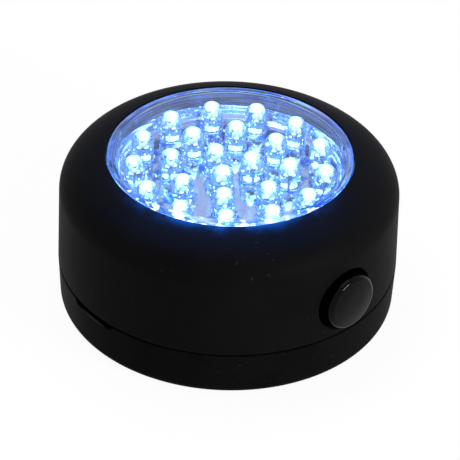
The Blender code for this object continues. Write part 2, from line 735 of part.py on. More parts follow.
def screw_mesh(length):
    """A screw whose head stands on z = 0 and whose shank points up."""
    rim = SCREW_HEAD_HEIGHT - SCREW_HEAD_CROWN
    profile = [
        (0.0, length),
        (SCREW_RADIUS / 2, length),
        (SCREW_RADIUS, length - SCREW_RADIUS),
        (SCREW_RADIUS, 0.0),
        (SCREW_HEAD_RADIUS, 0.0),
        (SCREW_HEAD_RADIUS, -rim),
        (SCREW_HEAD_RADIUS - SCREW_HEAD_CROWN, -SCREW_HEAD_HEIGHT),
        (0.0, -SCREW_HEAD_HEIGHT),
    ]
    blank = turned("screw_blank", profile, steps=TINY_STEPS, closed=False)
    slots = bmesh.new()
    reach = SCREW_HEAD_RADIUS * SCREW_SLOT_SHARE
    half = SCREW_SLOT_WIDTH / 2
    bottom = -SCREW_HEAD_HEIGHT
    add_box(slots, (-reach, -half, bottom - OVERRUN), (reach, half, bottom + SCREW_SLOT_DEPTH))
    cross = bmesh.new()
    add_box(cross, (-half, -reach, bottom - OVERRUN), (half, reach, bottom + SCREW_SLOT_DEPTH))
    boolean(blank, from_bmesh("screw_slot", slots))
    boolean(blank, from_bmesh("screw_cross_slot", cross))
    return applied_mesh(blank, STEEL)


def place_screw(name, mesh, place, parent=None, upside_down=False):
    screw = bpy.data.objects.new(name, mesh)
    screw.location = place
    if upside_down:
        screw.rotation_euler = (math.pi, 0, 0)
    screw.parent = parent
    PARTS.objects.link(screw)


def make_screws():
    board_mesh = screw_mesh(BOARD_THICKNESS + 2 * FIT_GAP + BOARD_SCREW_GRIP)
    for number, angle in enumerate(BOARD_POST_ANGLES, start=1):
        place = polar(POST_CIRCLE, angle, BOARD_BOTTOM - FIT_GAP)
        place_screw(f"board_screw_{number}", board_mesh, place, SERVICE)
    tray_mesh = screw_mesh(TRAY_WALL + 2 * FIT_GAP + TRAY_SCREW_GRIP)
    for number, angle in enumerate(TRAY_POST_ANGLES, start=1):
        place = polar(POST_CIRCLE, angle, ROOF_BOTTOM - FIT_GAP)
        place_screw(f"tray_screw_{number}", tray_mesh, place, SERVICE)
    swivel_mesh = screw_mesh(WASHER_THICKNESS + 2 * FIT_GAP + SWIVEL_SCREW_GRIP)
    place_screw("swivel_screw", swivel_mesh, (0, 0, SWIVEL_HEAD_BOTTOM), upside_down=True)


def make_tray():
    shell = bmesh.new()
    add_box(
        shell,
        (-TRAY_HALF_WIDTH, -TRAY_HALF_LENGTH, TRAY_BOTTOM),
        (TRAY_HALF_WIDTH, TRAY_HALF_LENGTH, ROOF_TOP),
    )
    tray = from_bmesh("battery_tray", shell, INNER_BLACK, SERVICE, smooth=False)
    bevel(tray, TRAY_WALL / 2)
    hollow = bmesh.new()
    add_box(
        hollow,
        (-TRAY_INNER_HALF_WIDTH, -TRAY_INNER_HALF_LENGTH, TRAY_BOTTOM - OVERRUN),
        (TRAY_INNER_HALF_WIDTH, TRAY_INNER_HALF_LENGTH, ROOF_BOTTOM),
    )
    boolean(tray, from_bmesh("tray_hollow", hollow, parent=SERVICE, smooth=False))
    add_tray_ears(tray)
    add_cell_dividers(tray)
    add_switch_cradle(tray)
    cut_tray_roof(tray)


def add_tray_ears(tray):
    """Flat ears with round ends, one for each screw."""
    half = TRAY_EAR_WIDTH / 2
    ears = bmesh.new()
    ends = bmesh.new()
    for angle in TRAY_POST_ANGLES:
        low = (TRAY_HALF_LENGTH - TRAY_WALL / 2, -half, ROOF_BOTTOM)
        add_box(ears, low, (POST_CIRCLE, half, ROOF_TOP), angle)
        add_upright(ends, half, polar(POST_CIRCLE, angle), ROOF_BOTTOM, ROOF_TOP)
    boolean(tray, from_bmesh("tray_ears", ears, parent=SERVICE, smooth=False), "UNION")
    boolean(tray, from_bmesh("tray_ear_ends", ends, parent=SERVICE), "UNION")


def add_cell_dividers(tray):
    """Ribs under the roof, in the cusps between the cells."""
    ribs = bmesh.new()
    for number in range(CELL_COUNT - 1):
        centre = CELL_PITCH * (number + 1 - CELL_COUNT / 2)
        half = TRAY_RIB_THICKNESS / 2
        low = (centre - half, -TRAY_INNER_HALF_LENGTH + SPRING_LENGTH, ROOF_BOTTOM - TRAY_RIB_DEPTH)
        high = (centre + half, TRAY_INNER_HALF_LENGTH - SPRING_LENGTH, ROOF_BOTTOM + TRAY_WALL / 2)
        add_box(ribs, low, high)
    boolean(tray, from_bmesh("tray_ribs", ribs, parent=SERVICE, smooth=False), "UNION")


def add_switch_cradle(tray):
    """The open cradle that holds the switch behind the button."""
    half = SWITCH_SIZE / 2 + FIT_GAP
    floor = BUTTON_HEIGHT - half
    top = floor + SWITCH_SIZE * CRADLE_SHARE
    back = SWITCH_BACK - FIT_GAP
    lip_inner = half - CRADLE_LIP_REACH
    cradle = bmesh.new()
    add_box(
        cradle,
        (TRAY_HALF_WIDTH - TRAY_WALL / 2, -half - CRADLE_WALL, floor - CRADLE_WALL),
        (LIP_FACE, half + CRADLE_WALL, top),
    )
    boolean(tray, from_bmesh("switch_cradle", cradle, parent=SERVICE, smooth=False), "UNION")
    room = bmesh.new()
    add_box(room, (back, -half, floor), (SWITCH_FRONT + FIT_GAP, half, top + OVERRUN))
    boolean(tray, from_bmesh("switch_room", room, parent=SERVICE, smooth=False))
    gate = bmesh.new()
    add_box(gate, (TRAY_HALF_WIDTH, -lip_inner, floor), (LIP_FACE + OVERRUN, lip_inner, top + OVERRUN))
    boolean(tray, from_bmesh("switch_gate", gate, parent=SERVICE, smooth=False))


def cut_tray_roof(tray):
    """Holes for the screws, and slots for the tabs of the outer contacts."""
    under = ROOF_BOTTOM - OVERRUN
    over = ROOF_TOP + OVERRUN
    holes = bmesh.new()
    for angle in TRAY_POST_ANGLES:
        add_upright(holes, SCREW_HOLE_RADIUS, polar(POST_CIRCLE, angle), under, over, TINY_STEPS)
    half = CONTACT_TAB_WIDTH / 2 + FIT_GAP
    for side in (-1, 1):
        place = side * (CELL_COUNT - 1) / 2
        low, high = contact_box(place, place, side)
        centre = place * CELL_PITCH
        add_box(
            holes,
            (centre - half, low[1] - FIT_GAP, under),
            (centre + half, high[1] + FIT_GAP, over),
        )
    boolean(tray, from_bmesh("tray_holes", holes, parent=SERVICE, smooth=False))


def cell_x(index):
    return CELL_PITCH * (index - (CELL_COUNT - 1) / 2)


def cell_points_forward(index):
    """Whether this cell's positive end points along +Y. The cells alternate."""
    return index % 2 == 0


def make_cells():
    radius = CELL_DIAMETER / 2
    half = CELL_LENGTH / 2
    nub = CELL_NUB_DIAMETER / 2
    shoulder = half - CELL_NUB_HEIGHT
    rim = radius - 2 * CELL_EDGE_ROUND
    profile = [
        (0.0, half),
        (nub, half),
        (nub, shoulder - CELL_EDGE_ROUND / 2),
        (rim, shoulder - CELL_EDGE_ROUND / 2),
        (rim, shoulder),
        (radius - CELL_EDGE_ROUND, shoulder),
        (radius, shoulder - CELL_EDGE_ROUND),
        (radius, -half + CELL_EDGE_ROUND),
        (radius - CELL_EDGE_ROUND, -half),
        (0.0, -half),
    ]
    lift = (SPRING_LENGTH + FIT_GAP) / 2
    for index in range(CELL_COUNT):
        way = 1 if cell_points_forward(index) else -1
        cell = turned(f"cell_{index + 1}", profile, CELL_WRAP, SERVICE, SMALL_STEPS, closed=False)
        cell.location = (cell_x(index), way * lift, CELL_AXIS)
        cell.rotation_euler = (-way * math.pi / 2, 0, 0)


def contact_box(first, last, side):
    """Low and high corners of a contact plate over some cells, counted from the middle one."""
    face = TRAY_INNER_HALF_LENGTH - FIT_GAP
    reach = CELL_DIAMETER / 2 - CONTACT_MARGIN
    rear = min(side * face, side * (face - CONTACT_THICKNESS))
    front = max(side * face, side * (face - CONTACT_THICKNESS))
    low = (min(first, last) * CELL_PITCH - reach, rear, CELL_AXIS - reach)
    high = (max(first, last) * CELL_PITCH + reach, front, CELL_AXIS + reach)
    return low, high


def make_contacts():
    ends = (CELL_COUNT - 1) / 2
    for number, side in enumerate((1, -1), start=1):
        bridge = bmesh.new()
        low, high = contact_box(-ends * side, 0, side)
        add_box(bridge, low, high)
        obj = from_bmesh(f"contact_bridge_{number}", bridge, NICKEL, SERVICE, smooth=False)
        bevel(obj, CONTACT_THICKNESS / 3)
        low, high = contact_box(ends * side, ends * side, side)
        plate = bmesh.new()
        add_box(plate, low, high)
        obj = from_bmesh(f"contact_single_{number}", plate, NICKEL, SERVICE, smooth=False)
        tab = bmesh.new()
        centre = ends * side * CELL_PITCH
        half = CONTACT_TAB_WIDTH / 2
        add_box(
            tab,
            (centre - half, low[1], high[2] - CONTACT_MARGIN),
            (centre + half, high[1], ROOF_TOP + CONTACT_TAB_RISE),
        )
        boolean(obj, from_bmesh(f"contact_tab_{number}", tab, parent=SERVICE, smooth=False), "UNION")


def tube(name, points, radius, material, parent=None, bevel_resolution=1):
    curve = bpy.data.curves.new(name, "CURVE")
    curve.dimensions = "3D"
    curve.bevel_depth = radius
    curve.bevel_resolution = bevel_resolution
    curve.use_fill_caps = True
    spline = curve.splines.new("POLY")
    spline.points.add(len(points) - 1)
    for point, place in zip(spline.points, points):
        point.co = (*place, 1.0)
    curve.materials.append(material)
    obj = bpy.data.objects.new(name, curve)
    obj.parent = parent
    PARTS.objects.link(obj)
    return obj


def spring_points():
    """A cone-shaped spring along Z, wide end at 0, with both ends straight for one wire diameter."""
    start = SPRING_WIRE / 2 + SPRING_WIRE
    end = SPRING_LENGTH - SPRING_WIRE / 2 - SPRING_WIRE
    steps = round(SPRING_TURNS * SPRING_POINTS_PER_TURN)
    points = []
    for i in range(steps + 1):
        share = i / steps
        radius = SPRING_WIDE_RADIUS + (SPRING_NARROW_RADIUS - SPRING_WIDE_RADIUS) * share
        points.append(polar(radius, 360 * SPRING_TURNS * share, start + (end - start) * share))
    first = Vector((points[0].x, points[0].y, 0.0))
    last = Vector((points[-1].x, points[-1].y, SPRING_LENGTH))
    return [first] + points + [last]


def least_gap(points, diameter):
    """The least distance between two stretches of a tube that lie at least half a turn apart."""
    apart = SPRING_POINTS_PER_TURN // 2
    least = math.inf
    for i, first in enumerate(points):
        for second in points[i + apart :]:
            least = min(least, (first - second).length)
    return least - diameter


def make_springs():
    points = spring_points()
    print(f"least gap of a contact spring to itself: {1000 * least_gap(points, SPRING_WIRE):.2f} mm")
    plate_face = TRAY_INNER_HALF_LENGTH - FIT_GAP - CONTACT_THICKNESS - FIT_GAP
    for index in range(CELL_COUNT):
        side = -1 if cell_points_forward(index) else 1
        spring = tube(f"contact_spring_{index + 1}", points, SPRING_WIRE / 2, NICKEL, SERVICE)
        spring.location = (cell_x(index), side * plate_face, CELL_AXIS)
        spring.rotation_euler = (side * math.pi / 2, 0, 0)


def make_switch():
    body = bmesh.new()
    half = SWITCH_SIZE / 2
    add_box(
        body,
        (SWITCH_BACK, -half, BUTTON_HEIGHT - half),
        (SWITCH_FRONT, half, BUTTON_HEIGHT + half),
    )
    switch = from_bmesh("switch_body", body, INNER_BLACK, SERVICE, smooth=False)
    bevel(switch, SWITCH_EDGE)
    terminals = bmesh.new()
    for side in (-1, 1):
        centre = side * TERMINAL_SPREAD
        top = BUTTON_HEIGHT + half - SWITCH_EDGE
        low = (SWITCH_BACK - TERMINAL_LENGTH, centre - TERMINAL_WIDTH / 2, top - TERMINAL_HEIGHT)
        high = (SWITCH_BACK + OVERRUN, centre + TERMINAL_WIDTH / 2, top - SWITCH_EDGE)
        add_box(terminals, low, high)
    boolean(switch, from_bmesh("switch_terminals", terminals, parent=SERVICE, smooth=False), "UNION")
    bore = bmesh.new()
    add_rod(
        bore,
        PLUNGER_RADIUS + FIT_GAP,
        (SWITCH_FRONT - SWITCH_BORE_DEPTH, 0, BUTTON_HEIGHT),
        (SWITCH_FRONT + OVERRUN, 0, BUTTON_HEIGHT),
    )
    boolean(switch, from_bmesh("switch_bore", bore, parent=SERVICE))

    rod = bmesh.new()
    add_rod(rod, PLUNGER_RADIUS, (PLUNGER_START, 0, 0), (PLUNGER_END, 0, 0))
    plunger = from_bmesh("switch_plunger", rod, STEEL, SERVICE)
    plunger.location = (0, 0, BUTTON_HEIGHT)
    bevel(plunger, PLUNGER_RADIUS / 5)


def make_button():
    edge = arc(
        (BUTTON_RADIUS - BUTTON_EDGE_ROUND, BUTTON_FACE - BUTTON_CROWN - BUTTON_EDGE_ROUND),
        (BUTTON_EDGE_ROUND, BUTTON_EDGE_ROUND),
        80,
        0,
        BUTTON_EDGE_STEPS,
    )
    socket = PLUNGER_RADIUS + FIT_GAP
    profile = [(0.0, BUTTON_FACE), (BUTTON_RADIUS / 2, BUTTON_FACE - BUTTON_CROWN / 4)]
    profile += edge
    profile += [
        (BUTTON_RADIUS, FLANGE_OUTER),
        (BUTTON_FLANGE_RADIUS, FLANGE_OUTER),
        (BUTTON_FLANGE_RADIUS, FLANGE_INNER),
        (socket, FLANGE_INNER),
        (socket, FLANGE_INNER + BUTTON_SOCKET_DEPTH),
        (0.0, FLANGE_INNER + BUTTON_SOCKET_DEPTH),
    ]
    cap = turned("button_cap", profile, GLOSS_BLACK, SERVICE, BUTTON_STEPS, closed=False)
    cap.location = (0, 0, BUTTON_HEIGHT)
    cap.rotation_euler = (0, math.pi / 2, 0)


def smooth_route(places, count):
    """Points of a smooth curve through a route's own points."""
    places = [Vector(place) for place in places]
    padded = [2 * places[0] - places[1]] + places + [2 * places[-1] - places[-2]]
    spans = len(places) - 1
    points = []
    for i in range(count):
        along = spans * i / (count - 1)
        span = min(int(along), spans - 1)
        t = along - span
        a, b, c, d = padded[span : span + 4]
        points.append(
            0.5
            * (
                2 * b
                + (c - a) * t
                + (2 * a - 5 * b + 4 * c - d) * t**2
                + (3 * b - a - 3 * c + d) * t**3
            )
        )
    return points


def make_wires():
    level = ROOF_TOP + FIT_GAP + WIRE_RADIUS + WIRE_SAG
    tab_x = cell_x(CELL_COUNT - 1)
    tab_y = TRAY_INNER_HALF_LENGTH - FIT_GAP - CONTACT_THICKNESS - FIT_GAP - WIRE_RADIUS
    terminal_x = SWITCH_BACK - TERMINAL_LENGTH / 2
    terminal_top = SWITCH_TOP - 2 * SWITCH_EDGE + FIT_GAP
    landing = max(level, terminal_top + WIRE_RADIUS)
    pad_height = BOARD_BOTTOM - FIT_GAP
    pad_rise = pad_height - 2 * WIRE_RADIUS
    band = (LED_RINGS[0] + LED_RINGS[1]) / 2

    # From the outer cell's contact across the tray's edge to the switch
    positive = [
        (tab_x, tab_y, level),
        (tab_x + CELL_DIAMETER / 5, tab_y - CELL_DIAMETER / 4, level),
        (TRAY_HALF_WIDTH, tab_y - CELL_DIAMETER, level),
        (terminal_x - WIRE_RADIUS, TERMINAL_SPREAD + CELL_DIAMETER / 2, landing),
        (terminal_x, TERMINAL_SPREAD + 2 * WIRE_RADIUS, landing),
        (terminal_x, TERMINAL_SPREAD, terminal_top),
    ]
    tube("wire_positive", smooth_route(positive, WIRE_POINTS), WIRE_RADIUS, RED_WIRE, SERVICE)

    # From the switch to a pad on the board, in the free band between two rings of LEDs
    switched = [
        (terminal_x, -TERMINAL_SPREAD, terminal_top),
        (terminal_x - WIRE_RADIUS, -TERMINAL_SPREAD - 2 * WIRE_RADIUS, landing),
        polar(band + WIRE_RADIUS, SWITCHED_PAD_ANGLE / 2, landing),
        polar(band, SWITCHED_PAD_ANGLE + PAD_LEAD_IN, level),
        polar(band, SWITCHED_PAD_ANGLE, pad_rise),
        polar(band, SWITCHED_PAD_ANGLE - PAD_LANDING, pad_height),
    ]
    tube("wire_switched", smooth_route(switched, WIRE_POINTS), WIRE_RADIUS, RED_WIRE, SERVICE)

    # From the first cell's contact to its own pad
    negative = [
        (-tab_x, -tab_y, level),
        (-tab_x, -tab_y + CELL_DIAMETER / 4, level),
        polar(band + 2 * WIRE_RADIUS, NEGATIVE_PAD_ANGLE - PAD_LEAD_IN, level),
        polar(band, NEGATIVE_PAD_ANGLE, pad_rise),
        polar(band, NEGATIVE_PAD_ANGLE + PAD_LANDING, pad_height),
    ]
    tube("wire_negative", smooth_route(negative, WIRE_POINTS), WIRE_RADIUS, BLACK_WIRE, SERVICE)


def make_resistor():
    height = BOARD_BOTTOM - FIT_GAP - RESISTOR_RADIUS
    band = (LED_RINGS[0] + LED_RINGS[1]) / 2
    half = RESISTOR_LENGTH / 2
    cap = half - RESISTOR_CAP_LENGTH
    profile = [
        (0.0, half),
        (RESISTOR_WAIST, half),
        (RESISTOR_RADIUS, half - RESISTOR_CAP_LENGTH / 3),
        (RESISTOR_RADIUS, cap),
        (RESISTOR_WAIST, cap - RESISTOR_CAP_LENGTH / 3),
        (RESISTOR_WAIST, -cap + RESISTOR_CAP_LENGTH / 3),
        (RESISTOR_RADIUS, -cap),
        (RESISTOR_RADIUS, -half + RESISTOR_CAP_LENGTH / 3),
        (RESISTOR_WAIST, -half),
        (0.0, -half),
    ]
    resistor = turned("resistor", profile, RESISTOR_BODY, SERVICE, TINY_STEPS, closed=False)
    resistor.location = (-band, 0, height)
    resistor.rotation_euler = (math.pi / 2, 0, 0)
    reach = half + RESISTOR_LEAD_REACH
    rise = RESISTOR_RADIUS
    route = [
        (0, rise, -reach),
        (0, RESISTOR_LEAD_RADIUS, -reach),
        (0, 0, -reach + RESISTOR_LEAD_RADIUS),
        (0, 0, reach - RESISTOR_LEAD_RADIUS),
        (0, RESISTOR_LEAD_RADIUS, reach),
        (0, rise, reach),
    ]
    lead = tube("resistor_lead", route, RESISTOR_LEAD_RADIUS, STEEL)
    tool = from_bmesh("resistor_leads", welded_shape(lead), parent=SERVICE)
    tool.location = resistor.location
    tool.rotation_euler = resistor.rotation_euler
    boolean(resistor, tool, "UNION")


def make_base():
    inner = HOUSING_SKIRT_RADIUS - BASE_WALL
    recess = SWIVEL_RADIUS + FIT_GAP
    spigot_inner = SPIGOT_RADIUS - SPIGOT_WALL
    hole = HUB_RADIUS + HUB_PLAY
    round_centre = (BASE_BOTTOM_RADIUS - BASE_EDGE_ROUND, BASE_EDGE_ROUND)
    profile = [
        (SPIGOT_RADIUS, SPIGOT_TOP),
        (SPIGOT_RADIUS, BASE_HEIGHT),
        (HOUSING_SKIRT_RADIUS, BASE_HEIGHT),
    ]
    profile += arc(round_centre, (BASE_EDGE_ROUND, BASE_EDGE_ROUND), 0, -90, BASE_EDGE_STEPS)
    profile += [
        (recess, 0.0),
        (recess, RECESS_TOP),
        (hole, RECESS_TOP),
        (hole, FLOOR_TOP),
        (recess + BASE_RECESS_WALL, FLOOR_TOP),
        (recess + BASE_RECESS_WALL, BASE_RING_FLOOR),
        (inner, BASE_RING_FLOOR),
        (inner, BASE_HEIGHT - 2 * SPIGOT_BLEND),
        (spigot_inner, BASE_HEIGHT - SPIGOT_BLEND),
        (spigot_inner, SPIGOT_TOP),
    ]
    base = turned("base_cover", profile, BASE_BLACK)
    add_snap_beads(base)
    add_cell_supports(base)
    cut_spigot(base)
    cut_pry_notch(base)


def add_snap_beads(base):
    """The bead round the spigot that snaps into the housing's groove."""
    beads = turned(
        "snap_beads",
        [
            (SPIGOT_RADIUS - BITE, SNAP_HEIGHT + SNAP_BEAD_HEIGHT / 2),
            (SPIGOT_RADIUS + SNAP_BEAD, SNAP_HEIGHT),
            (SPIGOT_RADIUS - BITE, SNAP_HEIGHT - SNAP_BEAD_HEIGHT / 2),
        ],
    )
    boolean(base, beads, "UNION")


def add_cell_supports(base):
    """Two ribs on the floor, across the cells."""
    ribs = bmesh.new()
    for side in (-1, 1):
        centre = side * CELL_RIB_SPREAD
        low = (-TRAY_INNER_HALF_WIDTH, centre - CELL_RIB_THICKNESS / 2, FLOOR_TOP - BITE)
        high = (TRAY_INNER_HALF_WIDTH, centre + CELL_RIB_THICKNESS / 2, CELL_BOTTOM - FIT_GAP)
        add_box(ribs, low, high)
    boolean(base, from_bmesh("cell_ribs", ribs, parent=SERVICE, smooth=False), "UNION")


def cut_spigot(base):
    """The gap in the spigot for the button, and slots that free three tongues of it."""
    cuts = bmesh.new()
    inner = SPIGOT_RADIUS - 2 * SPIGOT_WALL
    outer = SPIGOT_RADIUS + OVERRUN
    low = BASE_HEIGHT + BITE
    high = SPIGOT_TOP + OVERRUN
    half = BUTTON_RELIEF_WIDTH / 2
    add_box(cuts, (inner, -half, low), (outer, half, high))
    slot_offset = (SNAP_TONGUE_WIDTH + SNAP_SLOT_WIDTH) / 2
    half = SNAP_SLOT_WIDTH / 2
    for angle in SNAP_ANGLES:
        for centre in (-slot_offset, slot_offset):
            add_box(cuts, (inner, centre - half, low), (outer, centre + half, high), angle)
    boolean(base, from_bmesh("spigot_cuts", cuts, parent=SERVICE, smooth=False))


def cut_pry_notch(base):
    """The notch where a coin or nail prises the cover off: a shallow arc in the upper edge."""
    half = PRY_NOTCH_WIDTH / 2
    radius = (half**2 + PRY_NOTCH_DEPTH**2) / (2 * PRY_NOTCH_DEPTH)
    centre = BASE_HEIGHT + radius - PRY_NOTCH_DEPTH
    angle = world_angle(PRY_NOTCH_AZIMUTH)
    notch = bmesh.new()
    add_rod(
        notch,
        radius,
        polar(HOUSING_SKIRT_RADIUS - PRY_NOTCH_REACH, angle, centre),
        polar(HOUSING_SKIRT_RADIUS + OVERRUN, angle, centre),
        steps=PRY_NOTCH_STEPS,
    )
    boolean(base, from_bmesh("pry_notch", notch))


def hook_centreline():
    """The hook's bar from its pivot to its tip, seen from above, as points about the disc's centre."""
    points = [Vector((0.0, HOOK_PIVOT_Y))]
    for i in range(HOOK_SWEEP_STEPS + 1):
        share = i / HOOK_SWEEP_STEPS
        y = HOOK_SWEEP_END + (HOOK_SWEEP_START - HOOK_SWEEP_END) * share
        x = -HOOK_BEND_RADIUS * (1 - math.cos(math.pi * share)) / 2
        points.append(Vector((x, y)))
    for i in range(HOOK_BEND_STEPS + 1):
        angle = math.pi + math.pi * i / HOOK_BEND_STEPS
        x = HOOK_BEND_RADIUS * math.cos(angle)
        y = -HOOK_BEND_OFFSET + HOOK_BEND_RADIUS * math.sin(angle)
        points.append(Vector((x, y)))
    points.append(Vector((HOOK_BEND_RADIUS, -HOOK_BEND_OFFSET + HOOK_TIP_LENGTH)))
    return points


def hook_outline():
    """The bar's outline: both sides of the centreline, with a round tip."""
    line = hook_centreline()
    half = HOOK_BAR_WIDTH / 2
    left = []
    right = []
    for i, point in enumerate(line):
        before = line[max(i - 1, 0)]
        after = line[min(i + 1, len(line) - 1)]
        along = (after - before).normalized()
        across = Vector((-along.y, along.x)) * half
        left.append(point + across)
        right.append(point - across)
    along = (line[-1] - line[-2]).normalized()
    across = Vector((-along.y, along.x))
    tip = []
    for i in range(1, HOOK_TIP_STEPS):
        angle = math.pi * i / HOOK_TIP_STEPS
        tip.append(line[-1] + half * (across * math.cos(angle) + along * math.sin(angle)))
    return left + tip + list(reversed(right))


def plate(name, outline, thickness, edge, origin):
    """A flat outline with a thickness and small chamfers, made a mesh about its origin."""
    curve = bpy.data.curves.new(name, "CURVE")
    curve.dimensions = "2D"
    curve.fill_mode = "BOTH"
    curve.extrude = thickness / 2 - edge
    curve.bevel_depth = edge
    curve.bevel_resolution = 0
    curve.offset = -edge
    spline = curve.splines.new("POLY")
    spline.points.add(len(outline) - 1)
    for point, place in zip(spline.points, outline):
        point.co = (place[0] - origin[0], place[1] - origin[1], 0.0, 1.0)
    spline.use_cyclic_u = True
    source = bpy.data.objects.new(name, curve)
    bpy.context.scene.collection.objects.link(source)
    return welded_shape(source)


def make_hook():
    pivot = (0.0, HOOK_PIVOT_Y)
    shape = plate("hook_bar", hook_outline(), HOOK_THICKNESS, HOOK_EDGE, pivot)
    hook = from_bmesh("hook", shape, BASE_BLACK)
    hook.location = (0, HOOK_PIVOT_Y, HOOK_AXIS_HEIGHT)
    half = HOOK_BAR_WIDTH / 2
    barrel = bmesh.new()
    add_rod(barrel, HOOK_EYE_RADIUS, (-half, 0, 0), (half, 0, 0))
    tool = from_bmesh("hook_eye", barrel)
    tool.location = hook.location
    boolean(hook, tool, "UNION")
    bore = bmesh.new()
    reach = half + OVERRUN
    add_rod(bore, HOOK_PIN_RADIUS + HOOK_PIN_PLAY, (-reach, 0, 0), (reach, 0, 0), TINY_STEPS)
    tool = from_bmesh("hook_bore", bore)
    tool.location = hook.location
    boolean(hook, tool)

    pin = bmesh.new()
    reach = half + HOOK_PIN_REACH
    add_rod(pin, HOOK_PIN_RADIUS, (-reach, 0, 0), (reach, 0, 0), TINY_STEPS)
    obj = from_bmesh("hook_pin", pin, STEEL)
    obj.location = hook.location


def make_swivel():
    profile = [
        (0.0, FLOOR_TOP),
        (HUB_RADIUS, FLOOR_TOP),
        (HUB_RADIUS, SWIVEL_TOP),
        (SWIVEL_RADIUS, SWIVEL_TOP),
        (SWIVEL_RADIUS, SWIVEL_INSET + SWIVEL_EDGE),
        (SWIVEL_RADIUS - SWIVEL_EDGE, SWIVEL_INSET),
        (0.0, SWIVEL_INSET),
    ]
    disc = turned("hook_swivel", profile, BASE_BLACK, closed=False)
    cut_hook_room(disc)
    cut_disc_bores(disc)


def cut_hook_room(disc):
    """Room in the disc's underside for the folded hook, its eye and its pin."""
    below = SWIVEL_INSET - OVERRUN
    above = SWIVEL_TOP + OVERRUN

    # The pocket is round at its lower end
    pocket = bmesh.new()
    pocket_high = HOOK_SWEEP_END + HOOK_POCKET_GAP
    round_end = (0.0, -HOOK_BEND_OFFSET)
    outline = arc(round_end, (POCKET_HALF_WIDTH, POCKET_HALF_WIDTH), 180, 360, HOOK_POCKET_STEPS)
    outline += [(POCKET_HALF_WIDTH, pocket_high), (-POCKET_HALF_WIDTH, pocket_high)]
    floor = [pocket.verts.new((x, y, below)) for x, y in outline]
    face = pocket.faces.new(floor)
    side = bmesh.ops.extrude_face_region(pocket, geom=[face])
    moved = [item for item in side["geom"] if isinstance(item, bmesh.types.BMVert)]
    bmesh.ops.translate(pocket, verts=moved, vec=(0, 0, POCKET_TOP - below))
    boolean(disc, from_bmesh("hook_pocket", pocket, smooth=False))

    # The slot of the hook's eye goes right through. Beyond it a shallower relief lets the hook fold out.
    slot = bmesh.new()
    half = HOOK_BAR_WIDTH / 2 + FIT_GAP
    slot_end = HOOK_PIVOT_Y + HOOK_EYE_RADIUS + HOOK_SLOT_HEEL
    add_box(slot, (-half, pocket_high - BITE, below), (half, slot_end, above))
    boolean(disc, from_bmesh("eye_slot", slot, smooth=False))
    relief = bmesh.new()
    relief_top = SWIVEL_INSET + HOOK_RELIEF_HEIGHT
    add_box(relief, (-half, slot_end - BITE, below), (half, SWIVEL_RADIUS + OVERRUN, relief_top))
    boolean(disc, from_bmesh("fold_relief", relief, smooth=False))

    # The pin drops in from above, where the base's floor then holds it down
    bed = bmesh.new()
    pin_gap = HOOK_PIN_RADIUS + HOOK_PIN_PLAY
    reach = HOOK_BAR_WIDTH / 2 + FIT_GAP + HOOK_PIN_REACH
    add_box(
        bed,
        (-reach, HOOK_PIVOT_Y - pin_gap, HOOK_AXIS_HEIGHT - pin_gap),
        (reach, HOOK_PIVOT_Y + pin_gap, above),
    )
    boolean(disc, from_bmesh("pin_bed", bed, smooth=False))


def cut_disc_bores(disc):
    """Bores for the two magnets from below, and for the screw from above."""
    bores = bmesh.new()
    magnet_top = SWIVEL_INSET + MAGNET_THICKNESS + FIT_GAP
    for side in (-1, 1):
        place = Vector((side * MAGNET_SPREAD, 0, 0))
        radius = MAGNET_RADIUS + FIT_GAP
        add_upright(bores, radius, place, SWIVEL_INSET - OVERRUN, magnet_top, BUTTON_STEPS)
    centre = Vector((0, 0, 0))
    screw_end = FLOOR_TOP - SWIVEL_SCREW_GRIP - FIT_GAP
    add_upright(bores, SCREW_HOLE_RADIUS, centre, screw_end, FLOOR_TOP + OVERRUN, TINY_STEPS)
    boolean(disc, from_bmesh("disc_bores", bores))


def make_washer():
    ring = [
        (WASHER_RADIUS, WASHER_BOTTOM + WASHER_THICKNESS),
        (WASHER_RADIUS, WASHER_BOTTOM),
        (SCREW_RADIUS + FIT_GAP, WASHER_BOTTOM),
        (SCREW_RADIUS + FIT_GAP, WASHER_BOTTOM + WASHER_THICKNESS),
    ]
    turned("swivel_washer", ring, STEEL, steps=SMALL_STEPS)


def make_magnets():
    half = MAGNET_THICKNESS / 2
    edge = MAGNET_RADIUS - MAGNET_EDGE
    profile = [
        (0.0, half),
        (edge, half),
        (MAGNET_RADIUS, half - MAGNET_EDGE),
        (MAGNET_RADIUS, MAGNET_EDGE - half),
        (edge, -half),
        (0.0, -half),
    ]
    for number, side in enumerate((-1, 1), start=1):
        magnet = turned(f"magnet_{number}", profile, NICKEL, steps=BUTTON_STEPS, closed=False)
        magnet.location = (side * MAGNET_SPREAD, 0, SWIVEL_INSET + half)


make_housing()
make_lens()
make_reflector()
make_leds()
make_board()
make_tray()
make_cells()
make_contacts()
make_springs()
make_switch()
make_button()
make_wires()
make_resistor()
make_base()
make_swivel()
make_washer()
make_magnets()
make_hook()
make_screws()
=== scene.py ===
"""Looks for the round LED work light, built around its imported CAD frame.

Shapes are written in millimetres in the light's own frame, with z up and the photo's camera in front, on
-y, and are scaled to metres as they are made. An outline's points are (radius, height).
"""

import math

import bmesh
import bpy
from mathutils import Matrix, Vector


